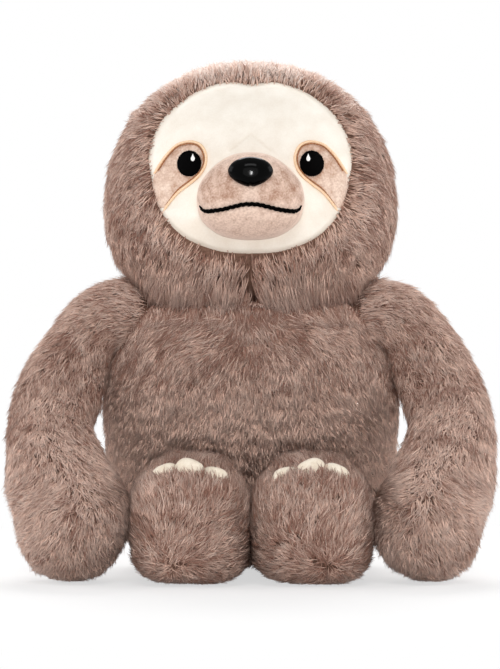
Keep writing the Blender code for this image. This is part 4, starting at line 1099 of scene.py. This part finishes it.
# moulded polyethylene: satin white with a faint cloudiness
washer = grained("white_washer_plastic", 0.5, 800.0, "#e2e2dd", "#eeeeea")
for node_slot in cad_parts["nose_washer"].material_slots:
    node_slot.material = washer

# Claws
# Three padded velour tabs are fanned over the top of each foot, with their roots under its pile.

# each claw's tip across and up the foot's section, its lean in degrees and its half width
CLAW_TIPS = {
    "middle": (-0.10, 0.957, -24, 0.0084),
    "inner": (-0.46, 0.848, -12, 0.0080),
    "outer": (0.45, 0.885, 22, 0.0082),
}
CLAW_Y, CLAW_HALF_LENGTH, CLAW_HALF_DEPTH = SOLE_Y + 0.0122, 0.0098, 0.0045
CLAW_POWER = 2 / 2.8
# sheared velour as on the face, with a finer nap; darker towards its roots, as painted shade under the
# foot's pile
claw_cloth = velour("pale_claw_velour", "#fdf3e2", "#d9c3a6", 1500.0, 200.0, 0.4, 0.4)
for side, sign in SIDES.items():
    for which, (tip_across, tip_up, degrees, half_width) in CLAW_TIPS.items():
        lean = sign * np.radians(degrees)
        along = np.array([np.sin(lean), 0, np.cos(lean)])
        across = np.array([np.cos(lean), 0, -np.sin(lean)])
        tip_x = sign * (LEG_X + tip_across * LEG_HALF_WIDTH)
        half = along * CLAW_HALF_LENGTH
        centre = np.array([tip_x, CLAW_Y, LEG_Z + tip_up * LEG_HALF_HEIGHT]) - half
        angles = around(48)[:, None]
        seam = 1 + 0.035 * peak(np.sin(angles) / 0.12)
        section = half_width * seam * np.cos(angles) * across
        section = section + CLAW_HALF_DEPTH * signed_power(np.sin(angles), 0.85) * (0, 1, 0)
        rings = [
            centre - half * signed_power(np.cos(step), CLAW_POWER) + section * np.sin(step) ** CLAW_POWER
            for step in np.linspace(0, np.pi, 34)[1:-1]
        ]
        claw = closed([(centre - half)[None], *rings, (centre + half)[None]])
        shown(
            f"claw_velour_{which}_{side}", f"leg_{side}", claw_cloth, claw,
            replaces=(f"claw_{which}_{side}",),
            # painted shade towards the claw's root
            nap_and_shade=0.25 * ease((centre[2] + 0.002 - claw[0][:, 2]) / 0.008),
        )

# Stage
# A white floor that keeps the toy's shadow, a soft box above the camera, a front fill, and soft lights at
# both sides and behind. The floor turns to plain white away from the toy.
FLOOR_POINTS, FLOOR_RADII = 96, (0.3, 1.0, 6.0)
angles = around(FLOOR_POINTS)
circle = np.column_stack([np.cos(angles), np.sin(angles), 0 * angles])
floor_at, floor_faces = closed([np.zeros((1, 3)), *(radius * circle for radius in FLOOR_RADII)])
mesh = bpy.data.meshes.new("floor")
mesh.from_pydata(floor_at.tolist(), [], floor_faces.tolist())
floor = bpy.data.objects.new("floor", mesh)
bpy.context.collection.objects.link(floor)
# matt white paper, which shows the toy's shadow near it and plain white beyond
white, tree, shader = surface_material("white_studio_floor", 0.9)
fill(tree, shader, {"Base Color": linear("#fbfafa")})


def seen_directly(tree):
    """1 for camera, glossy and transmission rays, and 0 for light that falls on the toy."""
    rays = add(tree, "ShaderNodeLightPath")
    seen = rays["Is Camera Ray"]
    for other in ("Is Glossy Ray", "Is Transmission Ray"):
        seen = add(tree, "ShaderNodeMath", {0: seen, 1: rays[other]}, operation="MAXIMUM")[0]
    return seen


place = add(tree, "ShaderNodeTexCoord")["Object"]
away = add(tree, "ShaderNodeVectorMath", {0: place}, operation="LENGTH")
far = add(
    tree, "ShaderNodeMapRange", interpolation_type="SMOOTHSTEP",
    inputs={"Value": away["Value"], "From Min": 0.12, "From Max": 0.36, "To Min": 0.62},
)
blank = add(tree, "ShaderNodeMath", {0: seen_directly(tree), 1: far["Result"]}, operation="MULTIPLY")
plain = add(tree, "ShaderNodeEmission", {"Color": (1, 1, 1, 1), "Strength": 1.0})
both = add(tree, "ShaderNodeMixShader", {0: blank[0], 1: shader.outputs[0], 2: plain[0]})
fill(tree, tree.nodes["Material Output"], {"Surface": both[0]})
mesh.materials.append(white)

scene = bpy.context.scene
scene.view_settings.view_transform = "Standard"
scene.world = bpy.data.worlds.new("studio")
scene.world.use_nodes = True
tree = scene.world.node_tree
tree.nodes.clear()
backdrop = add(tree, "ShaderNodeBackground", {"Color": (1, 1, 1, 1), "Strength": 1.0})
light = add(tree, "ShaderNodeBackground", {"Color": (1, 1, 1, 1), "Strength": 0.24})
both = add(tree, "ShaderNodeMixShader", {0: seen_directly(tree), 1: light[0], 2: backdrop[0]})
add(tree, "ShaderNodeOutputWorld", {"Surface": both[0]})

# lights by place, width, height and watts, each aimed at the middle of the toy
AIM = np.array([0, 0, 0.15])
LIGHTS = {
    "top_soft_box": ((0, -1.25, 1.20), 0.8, 0.4, 8.5),
    "front_fill": ((0, -2.9, 0.45), 1.6, 1.4, 12),
    "left_soft_box": ((1.5, 0.1, 0.65), 0.9, 0.9, 9),
    "right_soft_box": ((-1.5, 0.1, 0.65), 0.9, 0.9, 9),
    "back_soft_box": ((0, 0.9, 1.35), 0.9, 0.6, 19),
    "catch_light": ((0.03, -1.7, 0.36), 0.05, 0.05, 3.4),
}
for name, (spot, width, height, watts) in LIGHTS.items():
    lamp_data = bpy.data.lights.new(name, "AREA")
    lamp_data.shape = "RECTANGLE"
    lamp_data.size, lamp_data.size_y, lamp_data.energy = width, height, watts
    lamp = bpy.data.objects.new(name, lamp_data)
    lamp.location = spot
    lamp.rotation_euler = Vector(spot - AIM).to_track_quat("Z", "Y").to_euler()
    bpy.context.collection.objects.link(lamp)

# the camera is level, 1.35 m in front and near the height of the toy's middle
CAMERA_AT, SENSOR_WIDTH, FOCAL_LENGTH = (-0.0003, -1.35, 0.137), 36, 126.1
camera_data = bpy.data.cameras.new("camera")
camera_data.sensor_width, camera_data.lens = SENSOR_WIDTH, FOCAL_LENGTH
camera = bpy.data.objects.new("camera", camera_data)
camera.location = CAMERA_AT
camera.rotation_euler = (np.radians(90), 0, 0)
bpy.context.collection.objects.link(camera)
scene.camera = camera
